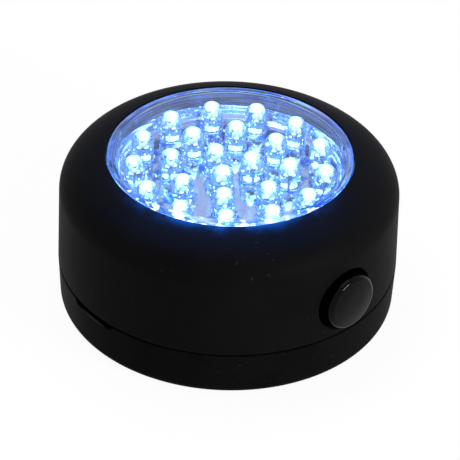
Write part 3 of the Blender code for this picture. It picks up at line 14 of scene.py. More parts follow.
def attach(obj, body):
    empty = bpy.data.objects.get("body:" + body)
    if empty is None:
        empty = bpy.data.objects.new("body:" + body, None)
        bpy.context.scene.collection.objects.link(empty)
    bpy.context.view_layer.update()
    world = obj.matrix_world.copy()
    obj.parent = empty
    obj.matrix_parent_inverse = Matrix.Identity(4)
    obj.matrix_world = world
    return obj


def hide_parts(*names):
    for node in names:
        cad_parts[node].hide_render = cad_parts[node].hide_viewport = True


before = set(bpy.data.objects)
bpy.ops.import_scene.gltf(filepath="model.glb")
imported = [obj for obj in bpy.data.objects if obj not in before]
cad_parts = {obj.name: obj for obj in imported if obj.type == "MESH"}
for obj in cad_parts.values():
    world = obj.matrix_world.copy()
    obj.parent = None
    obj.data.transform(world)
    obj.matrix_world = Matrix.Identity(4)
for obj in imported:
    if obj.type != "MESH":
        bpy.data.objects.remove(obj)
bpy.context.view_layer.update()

# Sizes and settings that several pieces share

MM = 0.001
TURN_STEPS = 192
SMOOTH_ANGLE = 35
BODY_RADIUS = 37.92
WALL = 2.0
SHOULDER_CENTRE = (22.0, 28.05)
SHOULDER_RADII = (15.5, 9.70)
BOARD_TOP = 27.5
BUTTON_HEIGHT = 19.25

# The button points 42.87 degrees to the right of the front
BUTTON_ANGLE = math.radians(42.87 - 90)

# The rings of LEDs: how many, at what radius, and the angle of the first
LED_RINGS = ((13, 21.05, -8.4), (8, 13.11, -4.8), (3, 4.88, 12.0))


# Shader nodes


def feed(tree, socket, value):
    """Links another node's output or sets a constant. A colour is written without its alpha."""
    if isinstance(value, bpy.types.NodeSocket):
        tree.links.new(value, socket)
    elif socket.type == "RGBA":
        socket.default_value = (*value, 1.0)
    else:
        socket.default_value = value


def node(tree, kind, inputs=None, **settings):
    """Adds a shader node, with its inputs given by name or number and its settings by name."""
    made = tree.nodes.new("ShaderNode" + kind)
    for key, value in settings.items():
        setattr(made, key, value)
    for key, value in (inputs or {}).items():
        feed(tree, made.inputs[key], value)
    return made


def new_material(name):
    material = bpy.data.materials.new(name)
    material.use_nodes = True
    material.node_tree.nodes.clear()
    return material, material.node_tree


def output(tree, shader):
    node(tree, "OutputMaterial", {"Surface": shader.outputs[0]})


def position(tree):
    return node(tree, "TexCoord").outputs["Object"]


def split(tree, vector):
    return node(tree, "SeparateXYZ", {"Vector": vector}).outputs


def noise(tree, place, scale, detail=2.0, roughness=0.5):
    inputs = {"Vector": place, "Scale": scale, "Detail": detail, "Roughness": roughness}
    return node(tree, "TexNoise", inputs).outputs["Fac"]


def squeezed_noise(tree, place, scales, detail):
    """Noise with its own scale along each axis."""
    squeezed = node(tree, "VectorMath", {0: place, 1: scales}, operation="MULTIPLY").outputs[0]
    return noise(tree, squeezed, 1.0, detail)


def spread(tree, value, low, high, to_low=0.0, to_high=1.0):
    """Maps a value from one range to another, clamped."""
    inputs = {"Value": value, "From Min": low, "From Max": high, "To Min": to_low, "To Max": to_high}
    return node(tree, "MapRange", inputs).outputs["Result"]


def arith(tree, operation, first, second=0.0):
    return node(tree, "Math", {0: first, 1: second}, operation=operation).outputs[0]


def times(tree, first, second):
    return arith(tree, "MULTIPLY", first, second)


def plus(tree, first, second):
    return arith(tree, "ADD", first, second)


def larger(tree, first, second):
    return arith(tree, "MAXIMUM", first, second)


def blend(tree, share, first, second):
    """Mixes two colours. The Mix node keeps its colour inputs at 6 and 7 and the result at 2."""
    return node(tree, "Mix", {0: share, 6: first, 7: second}, data_type="RGBA").outputs[2]


def bump(tree, height, strength, distance=0.1 * MM):
    inputs = {"Height": height, "Strength": strength, "Distance": distance}
    return node(tree, "Bump", inputs).outputs["Normal"]


def radius_of(tree, x, y):
    """Level distance from an upright axis, from the offsets along x and y."""
    return arith(tree, "SQRT", plus(tree, times(tree, x, x), times(tree, y, y)))


def from_led(tree, place):
    """How far a point is from the axis of the nearest LED, seen from above."""
    x, y, _ = split(tree, place)
    reach = radius_of(tree, x, y)
    angle = arith(tree, "ARCTAN2", y, x)
    nearest = 1.0
    for count, radius, first_angle in LED_RINGS:
        turned_by = arith(tree, "SUBTRACT", angle, math.radians(first_angle))
        off = arith(tree, "PINGPONG", turned_by, math.pi / count)
        across = times(tree, off, radius * MM)
        outward = arith(tree, "SUBTRACT", reach, radius * MM)
        nearest = arith(tree, "MINIMUM", radius_of(tree, outward, across), nearest)
    return nearest


def shadowless_output(tree, shader, passed):
    """Lets lamp light through clear plastic, tinted, so that it casts no dark shadow."""
    through = node(tree, "BsdfTransparent", {"Color": passed})
    in_shadow = node(tree, "LightPath").outputs["Is Shadow Ray"]
    output(tree, node(tree, "MixShader", {0: in_shadow, 1: shader.outputs[0], 2: through.outputs[0]}))


def background_rays(tree):
    """1 for rays that show the background: the camera's and those off metal or through glass."""
    rays = node(tree, "LightPath").outputs
    bent = larger(tree, rays["Is Glossy Ray"], rays["Is Transmission Ray"])
    return larger(tree, rays["Is Camera Ray"], bent)


# Materials


def moulded(
    name,
    dark,
    light,
    rough=(0.45, 0.60),
    specular=0.2,
    grain=2600.0,
    grain_strength=0.25,
    metallic=0.0,
    sheen=0.0,
    dust=0.0,
    coat=0.0,
):
    """A moulded or finished surface: uneven tone, uneven gloss, fine grain and, if wanted, dust."""
    material, tree = new_material(name)
    place = position(tree)
    patch = noise(tree, place, 90.0, 4.0)
    fine = noise(tree, place, grain)
    tone = blend(tree, spread(tree, patch, 0.35, 0.65), dark, light)
    if dust:
        specks = spread(tree, noise(tree, place, 1500.0, 1.0), 0.66, 0.74, 0.0, dust)
        cover = spread(tree, noise(tree, place, 60.0), 0.4, 0.7, 0.2, 1.0)
        tone = blend(tree, times(tree, specks, cover), tone, (0.20, 0.20, 0.22))
    shader = node(
        tree,
        "BsdfPrincipled",
        {
            "Base Color": tone,
            "Roughness": spread(tree, patch, 0.3, 0.7, *rough),
            "Metallic": metallic,
            "Specular IOR Level": specular,
            "Sheen Weight": sheen,
            "Sheen Roughness": 0.4,
            "Coat Weight": coat,
            "Coat Roughness": 0.15,
            "Normal": bump(tree, fine, grain_strength),
        },
    )
    output(tree, shader)
    return material


def soft_touch_black():
    """Rubbery black with a little dust. The LEDs' blue light spills over the opening's rim, in front."""
    material, tree = new_material("soft_touch_black")
    place = position(tree)
    x, y, _ = split(tree, place)
    radius = radius_of(tree, x, y)
    patch = noise(tree, place, 60.0, 4.0)
    specks = spread(tree, noise(tree, place, 1300.0, 1.0), 0.71, 0.77, 0.0, 0.5)
    cover = spread(tree, noise(tree, place, 45.0), 0.45, 0.7)
    tone = blend(tree, spread(tree, patch, 0.35, 0.65), (0.0026, 0.0026, 0.0029), (0.0038, 0.0038, 0.0041))
    tone = blend(tree, times(tree, specks, cover), tone, (0.03, 0.03, 0.04))
    rim = 27.2 * MM
    led_glow_share = spread(tree, radius, rim, 32.0 * MM, 1.0, 0.0)
    streaks = spread(tree, noise(tree, place, 210.0, 3.0), 0.42, 0.62, 0.15, 1.0)
    strong = times(tree, arith(tree, "POWER", led_glow_share, 4.5), times(tree, streaks, 0.80))
    spill = spread(tree, radius, rim, 35.0 * MM, 0.022, 0.0)
    even = spread(tree, radius, rim, 36.0 * MM, 0.005, 0.0)
    front = arith(tree, "POWER", spread(tree, y, -10.0 * MM, -27.0 * MM, 0.04, 1.0), 2.0)
    shader = node(
        tree,
        "BsdfPrincipled",
        {
            "Base Color": tone,
            "Roughness": spread(tree, patch, 0.3, 0.7, 0.50, 0.60),
            "Specular IOR Level": 0.015,
            "Sheen Weight": 0.007,
            "Sheen Roughness": 0.5,
            "Sheen Tint": (0.95, 0.96, 1.0),
            "Emission Color": (0.0, 0.17, 1.0),
            "Emission Strength": plus(tree, even, times(tree, front, plus(tree, strong, spill))),
            "Normal": bump(tree, noise(tree, place, 3200.0), 0.18),
        },
    )
    output(tree, shader)
    return material


def clear_plastic():
    """The lens: clear and faintly rippled. Its side wall carries the LEDs' light, most of it in front."""
    material, tree = new_material("clear_cover")
    place = position(tree)
    x, y, _ = split(tree, place)
    side = spread(tree, radius_of(tree, x, y), 25.0 * MM, 25.8 * MM)
    front = spread(tree, y, -8.0 * MM, -24.0 * MM)
    smear = noise(tree, place, 130.0, 3.0)
    ripple = noise(tree, place, 260.0, 1.0)
    layers = squeezed_noise(tree, place, (90.0, 90.0, 2600.0), 3.0)
    clouds = squeezed_noise(tree, place, (150.0, 150.0, 800.0), 3.0)
    # The side wall's blue tint and its emitted glints and bright bands are painted LED light in the clear
    # wall.
    glint_noise = squeezed_noise(tree, place, (420.0, 420.0, 2400.0), 1.0)
    side_glow_tint = blend(tree, spread(tree, clouds, 0.48, 0.60), (0.11, 0.33, 0.80), (0.03, 0.14, 0.54))
    sparkle = plus(tree, glint_noise, spread(tree, front, 0.0, 1.0, -0.10, 0.14))
    glints = spread(tree, sparkle, 0.69, 0.74, 0.0, 2.0)
    glow_bands = times(tree, spread(tree, layers, 0.42, 0.64, 0.0, 0.20), spread(tree, front, 0.0, 1.0, 1.1, 3.0))
    whiteness = larger(tree, spread(tree, layers, 0.46, 0.60), spread(tree, sparkle, 0.66, 0.70))
    shader = node(
        tree,
        "BsdfPrincipled",
        {
            "Base Color": blend(tree, side, (0.62, 0.75, 0.92), side_glow_tint),
            "Roughness": spread(tree, smear, 0.4, 0.8, 0.0, 0.03),
            "IOR": 1.49,
            "Specular Tint": (0.25, 0.45, 1.0),
            "Transmission Weight": 1.0,
            "Emission Color": blend(tree, whiteness, (0.10, 0.31, 1.0), (0.70, 0.80, 1.0)),
            "Emission Strength": times(tree, side, plus(tree, glints, glow_bands)),
            "Normal": bump(tree, ripple, 0.05),
        },
    )
    shadowless_output(tree, shader, (0.90, 0.93, 1.0))
    return material


def epoxy():
    """An LED's clear resin: white-hot at its tip, a broken blue glow below and a lit ring at its foot."""
    material, tree = new_material("led_resin")
    place = position(tree)
    z = split(tree, place)[2]
    haze = noise(tree, place, 1600.0, 3.0, 0.6)
    speckle = noise(tree, place, 2200.0)
    streaks = squeezed_noise(tree, place, (2600.0, 2600.0, 420.0), 2.0)
    ragged_height = plus(tree, z, times(tree, speckle, 1.2 * MM))
    tip = spread(tree, ragged_height, 8.3 * MM, 9.1 * MM, 0.0, 4.0)
    halo = times(tree, spread(tree, z, 3.8 * MM, 7.0 * MM), spread(tree, speckle, 0.46, 0.62, 0.0, 0.60))
    stem = times(tree, spread(tree, z, 6.0 * MM, 3.5 * MM), spread(tree, streaks, 0.48, 0.64, 0.01, 0.50))
    ring = times(tree, spread(tree, z, 1.9 * MM, 2.2 * MM), spread(tree, z, 2.9 * MM, 2.4 * MM))
    ring = times(tree, ring, spread(tree, speckle, 0.45, 0.60, 0.1, 1.4))
    # Painted LED light and painted shade: the clear resin is coloured pale blue face-on and deep dark blue
    # where it is seen edge-on.
    facing = node(tree, "LayerWeight", {"Blend": 0.5}).outputs["Facing"]
    edge = spread(tree, facing, 0.42, 0.90)
    shader = node(
        tree,
        "BsdfPrincipled",
        {
            "Base Color": blend(tree, edge, (0.44, 0.72, 0.94), (0.015, 0.19, 0.68)),
            "Roughness": spread(tree, haze, 0.3, 0.8, 0.01, 0.06),
            "IOR": 1.53,
            "Transmission Weight": 1.0,
            "Emission Color": (0.28, 0.50, 0.92),
            "Emission Strength": plus(tree, plus(tree, tip, ring), plus(tree, halo, stem)),
            "Normal": bump(tree, haze, 0.40),
        },
    )
    shadowless_output(tree, shader, (0.85, 0.92, 1.0))
    return material


def lit(name, color, strength, low_share=0.5, upward=False):
    """A glowing surface whose brightness is uneven. With upward set, its underside is nearly dark."""
    material, tree = new_material(name)
    glow = spread(tree, noise(tree, position(tree), 1500.0), 0.35, 0.65, strength * low_share, strength)
    if upward:
        normal = node(tree, "TexCoord").outputs["Normal"]
        glow = times(tree, glow, spread(tree, split(tree, normal)[2], -0.35, 0.30, 0.03, 1.0))
    output(tree, node(tree, "Emission", {"Color": color, "Strength": glow}))
    return material


def plated():
    """Metallised plastic: a mirror with slow ripples from the mould, painted blue with the LEDs' light round
    each LED.
    """
    material, tree = new_material("reflector_plating")
    place = position(tree)
    wave = noise(tree, place, 160.0)
    fine = noise(tree, place, 1400.0)
    patch = noise(tree, place, 330.0, 3.0, 0.6)
    glint = squeezed_noise(tree, place, (900.0, 420.0, 900.0), 1.0)
    # Round each LED the blue colour is painted LED light, and the flecks of emission there are painted
    # glints.
    ragged_reach = plus(tree, from_led(tree, place), times(tree, patch, 10.0 * MM))
    led_glow_share = spread(tree, ragged_reach, 7.4 * MM, 8.9 * MM, 1.0, 0.0)
    shader = node(
        tree,
        "BsdfPrincipled",
        {
            "Base Color": blend(tree, led_glow_share, (0.78, 0.76, 0.88), (0.05, 0.24, 0.74)),
            "Metallic": 1.0,
            "Roughness": spread(tree, fine, 0.3, 0.7, 0.03, 0.09),
            "Emission Color": (0.62, 0.80, 1.0),
            "Emission Strength": times(tree, led_glow_share, spread(tree, glint, 0.59, 0.66, 0.0, 1.8)),
            "Normal": bump(tree, plus(tree, wave, times(tree, fine, 0.15)), 0.45, 0.2 * MM),
        },
    )
    output(tree, shader)
    return material


HOUSING = soft_touch_black()
BASE = moulded(
    "base_black",
    (0.0026, 0.0026, 0.0030),
    (0.0038, 0.0038, 0.0042),
    rough=(0.46, 0.58),
    specular=0.008,
    grain=3200.0,
    grain_strength=0.2,
    sheen=0.004,
    dust=0.04,
)
BUTTON = moulded(
    "button_black",
    (0.0003, 0.0003, 0.0004),
    (0.0006, 0.0006, 0.0007),
    rough=(0.06, 0.10),
    specular=0.07,
    grain=1500.0,
    grain_strength=0.01,
    dust=0.02,
)
# A darker, duller copy of the button's black for its side wall: painted shade for the recess that the button
# stands in.
BUTTON_SIDE_SHADE = moulded(
    "button_side_shade",
    (0.0002, 0.0002, 0.0003),
    (0.0004, 0.0004, 0.0005),
    rough=(0.35, 0.45),
    specular=0.006,
    grain=1500.0,
    grain_strength=0.01,
)
# A paler black for the outer edge of the pry notch's floor: a painted highlight.
NOTCH_HIGHLIGHT = moulded(
    "notch_highlight_black",
    (0.006, 0.006, 0.0065),
    (0.011, 0.011, 0.0115),
    rough=(0.40, 0.50),
    specular=0.15,
    grain=3200.0,
    grain_strength=0.2,
)
INNER = moulded(
    "inner_black",
    (0.015, 0.015, 0.017),
    (0.024, 0.024, 0.026),
    rough=(0.40, 0.55),
    specular=0.3,
)
CLEAR = clear_plastic()
RESIN = epoxy()
MIRROR = plated()
BOARD = moulded(
    "solder_mask",
    (0.015, 0.11, 0.045),
    (0.03, 0.17, 0.07),
    rough=(0.25, 0.40),
    specular=0.5,
    grain=1200.0,
    grain_strength=0.2,
    coat=0.3,
)
NICKEL = moulded(
    "nickel_plating",
    (0.60, 0.58, 0.54),
    (0.72, 0.70, 0.66),
    rough=(0.16, 0.30),
    specular=0.5,
    grain=1800.0,
    grain_strength=0.1,
    metallic=1.0,
)
STEEL = moulded(
    "zinc_plating",
    (0.48, 0.48, 0.50),
    (0.62, 0.62, 0.63),
    rough=(0.26, 0.42),
    specular=0.5,
    grain=1800.0,
    grain_strength=0.15,
    metallic=1.0,
)
WRAP = moulded(
    "cell_wrap",
    (0.035, 0.045, 0.075),
    (0.055, 0.065, 0.10),
    rough=(0.22, 0.34),
    specular=0.5,
    grain=900.0,
    grain_strength=0.05,
    coat=0.4,
)
RED = moulded(
    "red_insulation",
    (0.45, 0.012, 0.012),
    (0.62, 0.03, 0.02),
    rough=(0.30, 0.45),
    specular=0.4,
)
BLACK = moulded(
    "black_insulation",
    (0.012, 0.012, 0.012),
    (0.028, 0.028, 0.028),
    rough=(0.30, 0.45),
    specular=0.4,
)
LACQUER = moulded(
    "resistor_lacquer",
    (0.50, 0.37, 0.21),
    (0.64, 0.49, 0.30),
    rough=(0.30, 0.45),
    specular=0.5,
    coat=0.3,
)
CHIP = lit("led_chip", (0.46, 0.66, 0.96), 8.5, upward=True)
FOOT = lit("led_foot_glow", (0.46, 0.66, 0.96), 7.5, low_share=0.25)
LEAD_FRAME = moulded(
    "led_lead_frame",
    (0.55, 0.60, 0.72),
    (0.75, 0.80, 0.90),
    rough=(0.15, 0.30),
    specular=0.5,
    metallic=1.0,
)

NODE_MATERIALS = {
    "housing": HOUSING,
    "base_cover": BASE,
    "hook_swivel": BASE,
    "hook": BASE,
    "button_cap": BUTTON,
    "battery_tray": INNER,
    "switch_body": INNER,
    "lens": CLEAR,
    "reflector": MIRROR,
    "led_board": BOARD,
    "resistor": LACQUER,
    "wire_negative": BLACK,
}
PREFIX_MATERIALS = {
    "contact": NICKEL,
    "magnet": NICKEL,
    "cell": WRAP,
    "led_": RESIN,
    "wire": RED,
}


def material_of(name):
    """The finish of a CAD node. What has none of its own, such as the screws, is plated steel."""
    if name in NODE_MATERIALS:
        return NODE_MATERIALS[name]
    for prefix, material in PREFIX_MATERIALS.items():
        if name.startswith(prefix):
            return material
    return STEEL


for node_name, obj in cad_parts.items():
    obj.data.materials.clear()
    obj.data.materials.append(material_of(node_name))


# Shapes


def finish_mesh(name, shape, material, smooth_angle=SMOOTH_ANGLE):
    """Makes an object of a bmesh and frees it. Edges flatter than an angle in degrees look smooth."""
    bmesh.ops.recalc_face_normals(shape, faces=shape.faces)
    mesh = bpy.data.meshes.new(name)
    shape.to_mesh(mesh)
    shape.free()
    mesh.materials.append(material)
    mesh.shade_smooth()
    mesh.set_sharp_from_angle(angle=math.radians(smooth_angle))
    obj = bpy.data.objects.new(name, mesh)
    bpy.context.scene.collection.objects.link(obj)
    return obj


def arc(centre, radii, start, end, steps):
    """Points along an ellipse's arc, between two angles in degrees."""
    points = []
    for i in range(steps + 1):
        angle = math.radians(start + (end - start) * i / steps)
        points.append((centre[0] + radii[0] * math.cos(angle), centre[1] + radii[1] * math.sin(angle)))
    return points


def add_turned(shape, outline, steps, closed=True):
    """Adds a turned solid. A closed outline makes a ring, an open one ends on the axis at both ends."""
    rings = []
    for radius, height in outline:
        ring = []
        for i in range(steps if radius else 1):
            angle = 2 * math.pi * i / steps
            place = (radius * math.cos(angle) * MM, radius * math.sin(angle) * MM, height * MM)
            ring.append(shape.verts.new(place))
        rings.append(ring)
    pairs = list(zip(rings, rings[1:]))
    if closed:
        pairs.append((rings[-1], rings[0]))
    for first, second in pairs:
        for i in range(steps):
            corners = []
            for ring, index in ((first, i), (first, i + 1), (second, i + 1), (second, i)):
                corner = ring[index % len(ring)]
                if corner not in corners:
                    corners.append(corner)
            if len(corners) > 2:
                shape.faces.new(corners)


def turned(name, outline, material, steps=TURN_STEPS, closed=True, smooth_angle=SMOOTH_ANGLE):
    shape = bmesh.new()
    add_turned(shape, outline, steps, closed)
    return finish_mesh(name, shape, material, smooth_angle)


def add_rod(shape, radius, start, end, steps):
    start, end = Vector(start) * MM, Vector(end) * MM
    along = end - start
    place = Matrix.Translation((start + end) / 2) @ along.to_track_quat("Z", "X").to_matrix().to_4x4()
    bmesh.ops.create_cone(
        shape,
        cap_ends=True,
        segments=steps,
        radius1=radius * MM,
        radius2=radius * MM,
        depth=along.length,
        matrix=place,
    )


def add_box(shape, low, high, turn=Matrix.Identity(4)):
    """Adds a box between two corners and turns it."""
    low, high = Vector(low) * MM, Vector(high) * MM
    place = turn @ Matrix.Translation((low + high) / 2) @ Matrix.Diagonal((*(high - low), 1.0))
    bmesh.ops.create_cube(shape, size=1.0, matrix=place)


def combine(piece, tool, operation):
    """Applies a Boolean with an object or a bmesh, and removes the object."""
    if isinstance(tool, bmesh.types.BMesh):
        tool = finish_mesh("tool", tool, piece.data.materials[0])
    modifier = piece.modifiers.new("combine", "BOOLEAN")
    modifier.operation = operation
    modifier.object = tool
    modifier.solver = "EXACT"
    graph = bpy.context.evaluated_depsgraph_get()
    mesh = bpy.data.meshes.new_from_object(piece.evaluated_get(graph))
    piece.modifiers.clear()
    piece.data = mesh
    bpy.data.objects.remove(tool)
    mesh.shade_smooth()
    mesh.set_sharp_from_angle(angle=math.radians(SMOOTH_ANGLE))


def from_button(angle):
    """The turn to a direction counted in degrees round the light from the button."""
    return Matrix.Rotation(BUTTON_ANGLE + math.radians(angle), 4, "Z")


def along_button(radius, height=BUTTON_HEIGHT, angle=0.0):
    """A point at a radius and height, in a direction counted from the button."""
    return from_button(angle) @ Vector((radius, 0.0, height))


def place_piece(piece, body, slot, *nodes):
    """Says which body a piece rides on and the CAD nodes that it stands for. Its slot is not used."""
    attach(piece, body)
    if nodes:
        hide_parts(*nodes)


# Housing: the upper shell, with posts and ribs inside and the button's collar and hole


def shoulder_arc(inset, start, end, steps):
    """An arc along the shoulder, at a depth under its outer face."""
    return arc(SHOULDER_CENTRE, (SHOULDER_RADII[0] - inset, SHOULDER_RADII[1] - inset), start, end, steps)


def housing_outline():
    opening, ledge, lip = 27.27, 34.77, 37.03
    seam, bore, groove = 11.10, 35.94, 36.40
    inner_wall = SHOULDER_CENTRE[0] + SHOULDER_RADII[0] - WALL
    outline = [(opening, ledge), (opening, lip), (27.36, 37.15)]
    outline += shoulder_arc(0.0, 69.3, 0, 32)
    outline += [(37.91, 11.62), (BODY_RADIUS, 11.36), (37.86, 11.18), (37.70, seam)]
    outline += [(36.05, seam), (bore, 11.40), (groove, 11.86), (groove, 11.96), (bore, 12.90)]
    outline += [(inner_wall, SHOULDER_CENTRE[1])]
    outline += shoulder_arc(WALL, 8, 60.8, 14)
    return outline


def add_posts(housing):
    """Screw posts for the board and the tray, joined to the shoulder's inner face."""
    post_radius, hole_radius, post_ring, post_top = 2.4, 1.4, 31.5, 37.5
    board_posts = ((60, 180, 300), BOARD_TOP, 4.3)
    tray_posts = ((90, 270), 22.4, 5.3)
    hole_lead = 1.0
    middle, foot = WALL / 2, 11.3
    posts = bmesh.new()
    holes = bmesh.new()
    for angles, seat, depth in (board_posts, tray_posts):
        for angle in angles:
            top = along_button(post_ring, post_top, angle)
            add_rod(posts, post_radius, along_button(post_ring, seat, angle), top, 32)
            hole_end = along_button(post_ring, seat + depth, angle)
            add_rod(holes, hole_radius, along_button(post_ring, seat - hole_lead, angle), hole_end, 24)
    limit = [(0.0, SHOULDER_CENTRE[1] + SHOULDER_RADII[1] - middle)]
    limit += shoulder_arc(middle, 90, 0, 24)
    limit += [(SHOULDER_CENTRE[0] + SHOULDER_RADII[0] - middle, foot), (0.0, foot)]
    trimmed = finish_mesh("posts", posts, HOUSING)
    combine(trimmed, turned("post_limit", limit, HOUSING, closed=False), "INTERSECT")
    combine(housing, trimmed, "UNION")
    combine(housing, holes, "DIFFERENCE")


def add_ribs(housing):
    rib_angles = (30, 120, 150, 210, 240, 330)
    low, high = (34.3, -0.6, 14.0), (36.5, 0.6, 24.05)
    ribs = bmesh.new()
    for angle in rib_angles:
        add_box(ribs, low, high, from_button(angle))
    combine(housing, ribs, "UNION")


def cut_button_hole(housing):
    collar_radius, collar_from, collar_to = 8.0, 33.95, 36.6
    hole_radius, hole_from, hole_to = 7.4, 33.0, 39.5
    collar = bmesh.new()
    add_rod(collar, collar_radius, along_button(collar_from), along_button(collar_to), 96)
    combine(housing, collar, "UNION")
    hole = bmesh.new()
    add_rod(hole, hole_radius, along_button(hole_from), along_button(hole_to), 96)
    combine(housing, hole, "DIFFERENCE")


def build_housing():
    housing = turned("housing_shell", housing_outline(), HOUSING)
    add_posts(housing)
    add_ribs(housing)
    cut_button_hole(housing)
    place_piece(housing, "light", "soft_black", "housing")


build_housing()


# Base cover: the lower shell, with a slotted spigot, cell supports and a pry notch


def base_outline():
    spigot_inside, spigot_top, spigot, bead = 34.25, 13.70, 35.64, 35.84
    seam, foot_radius, foot_corner = 10.69, 35.30, 2.30
    disc_recess, recess_roof, hub_hole = 26.3, 5.6, 4.9
    floor_top, well_inside, well_outside, well_floor = 7.2, 27.9, 35.9, 2.0
    outline = [(34.35, spigot_top), (35.50, spigot_top), (35.60, 13.60), (35.63, 12.40)]
    outline += [(bead, 11.92), (bead, 11.86), (spigot, 11.40), (spigot, seam)]
    outline += [(37.66, seam), (37.84, 10.61), (BODY_RADIUS, 10.44), (37.90, 10.25), (37.62, 2.60)]
    outline += arc((foot_radius, foot_corner), (foot_corner, foot_corner), 0, -90, 16)
    outline += [(26.55, 0.0), (disc_recess, 0.25), (disc_recess, recess_roof)]
    outline += [(hub_hole, recess_roof), (hub_hole, floor_top)]
    outline += [(well_inside, floor_top), (well_inside, well_floor)]
    outline += [(well_outside, well_floor), (well_outside, 8.3)]
    outline += [(spigot_inside, 9.5), (spigot_inside, 13.60)]
    return outline


def add_cell_supports(base):
    support_length, support_half, support_low, support_high = 16.65, 0.6, 7.0, 9.8
    supports = bmesh.new()
    for centre in (-15.0, 15.0):
        low = (-support_length, centre - support_half, support_low)
        high = (support_length, centre + support_half, support_high)
        add_box(supports, low, high, from_button(0))
    combine(base, supports, "UNION")


def cut_spigot(base):
    """Opens the spigot at the button and slots it on the other sides, which leaves springy tongues."""
    inside, outside, bottom, top = 32.84, 36.64, 10.92, 14.7
    gap_half, slot_centre, slot_half = 7.5, 7.6, 0.6
    slots = bmesh.new()
    add_box(slots, (inside, -gap_half, bottom), (outside, gap_half, top), from_button(0))
    for angle in (90, 180, 270):
        for centre in (-slot_centre, slot_centre):
            low = (inside, centre - slot_half, bottom)
            high = (outside, centre + slot_half, top)
            add_box(slots, low, high, from_button(angle))
    combine(base, slots, "DIFFERENCE")


def cut_notch(base):
    """Cuts the pry notch, 49.8 degrees left of the front.

    Its flat floor falls away outwards, between slanted ends.
    """
    angle, top, end_slant = math.radians(-49.8 - 90), 12.0, 1.5
    # The notch's radius, half its length and the height of its floor
    sections = ((36.34, 6.0, 9.55), (37.62, 6.0, 9.52), (39.5, 7.4, 8.0))
    outward = Vector((math.cos(angle), math.sin(angle), 0.0))
    sideways = Vector((-outward.y, outward.x, 0.0))
    notch = bmesh.new()
    rings = []
    for reach, half, floor_height in sections:
        ring = []
        wide = half + end_slant
        for side, height in ((-wide, top), (-half, floor_height), (half, floor_height), (wide, top)):
            place = outward * reach + sideways * side + Vector((0, 0, height))
            ring.append(notch.verts.new(place * MM))
        rings.append(ring)
    for first, second in zip(rings, rings[1:]):
        for i in range(4):
            j = (i + 1) % 4
            notch.faces.new((first[i], first[j], second[j], second[i]))
    notch.faces.new(rings[0])
    notch.faces.new(rings[-1])
    combine(base, notch, "DIFFERENCE")


def paint_notch_highlight(base):
    """Gives the outer edge of the notch's floor a paler black: a painted highlight where that edge catches
    the light.
    """
    edge_from, low, high = 37.4, 9.2, 9.55
    steepest, flattest = 0.3, 0.95
    base.data.materials.append(NOTCH_HIGHLIGHT)
    for face in base.data.polygons:
        reach = math.hypot(face.center.x, face.center.y) / MM
        at_floor = edge_from < reach < BODY_RADIUS and low < face.center.z / MM < high
        if at_floor and steepest < face.normal.z < flattest:
            face.material_index = 1


def build_base():
    base = turned("base_shell", base_outline(), BASE)
    add_cell_supports(base)
    cut_spigot(base)
    cut_notch(base)
    paint_notch_highlight(base)
    place_piece(base, "base", "base_black", "base_cover")


build_base()


# Lens: an inverted cup with a crowned top and a flange


def crown(radius, drop=0.0):
    """A point on the lens's crowned top, or at a depth under it."""
    edge_height, rise, edge_radius = 37.17, 1.10, 26.97
    return (radius, edge_height + rise * (1 - (radius / edge_radius) ** 2) - drop)


def lens_outline():
    steps, top_radius, under_radius, top_wall = 20, 26.3, 25.3, 1.2
    side, flange_top, flange_foot = 26.94, 34.46, 32.62
    edge_radius, edge_drop = 26.72, 0.06
    outline = [crown(top_radius * i / steps) for i in range(steps + 1)]
    outline += [crown(edge_radius, edge_drop), (26.90, 37.03), (side, 36.83), (side, flange_top)]
    outline += [(27.9, 34.43), (27.93, flange_foot), (25.80, flange_foot), (25.76, 35.66), (25.62, 35.94)]
    outline += [crown(under_radius * (steps - i) / steps, top_wall) for i in range(steps + 1)]
    return outline


def build_lens():
    lens = turned("lens_cover", lens_outline(), CLEAR, closed=False, smooth_angle=50)
    place_piece(lens, "light", "clear_cover", "lens")


build_lens()


# Reflector: a dish with a rim, a skirt that stands on the board and a hole for each LED


def led_places():
    """The x, y and direction of each LED."""
    places = []
    for count, radius, first_angle in LED_RINGS:
        for i in range(count):
            angle = math.radians(first_angle + 360 * i / count)
            places.append((radius * math.cos(angle), radius * math.sin(angle), angle))
    return places


def reflector_outline():
    dish_top, dish_under = 29.4, 28.6
    curve, under_curve, under_rim = (1.6, 2.9), (2.0, 2.9), 31.5
    rim, skirt_outside, skirt_inside = 32.32, 27.92, 26.92
    outline = [(0.0, dish_top)]
    outline += arc((24.17, dish_top + curve[1]), curve, 270, 352, 12)
    outline += [(25.85, rim), (skirt_outside, rim), (skirt_outside, BOARD_TOP)]
    outline += [(skirt_inside, BOARD_TOP), (skirt_inside, under_rim)]
    outline += arc((23.8, under_rim), under_curve, 340, 270, 8)
    outline += [(0.0, dish_under)]
    return outline


def cut_led_holes(reflector):
    hole_radius, hole_from, hole_to = 2.7, 28.0, 30.0
    holes = bmesh.new()
    for x, y, _ in led_places():
        add_rod(holes, hole_radius, (x, y, hole_from), (x, y, hole_to), 48)
    combine(reflector, holes, "DIFFERENCE")


def build_reflector():
    reflector = turned("reflector_dish", reflector_outline(), MIRROR, closed=False)
    cut_led_holes(reflector)
    place_piece(reflector, "light", "plated_reflector", "reflector")


build_reflector()


# LEDs: resin body, lead frame, glowing chip and the lit foot seen through the resin


def led_body():
    radius, dome_height, flange, flange_top = 2.5, 6.1, 2.88, 0.78
    shape = bmesh.new()
    outline = [(0.0, dome_height + radius)]
    outline += arc((0.0, dome_height), (radius, radius), 80, 0, 12)
    outline += [(radius, 0.82), (flange, flange_top), (flange, 0.03), (2.82, 0.0), (0.0, 0.0)]
    add_turned(shape, outline, 40, closed=False)
    return finish_mesh("led_resin_body", shape, RESIN, 60)


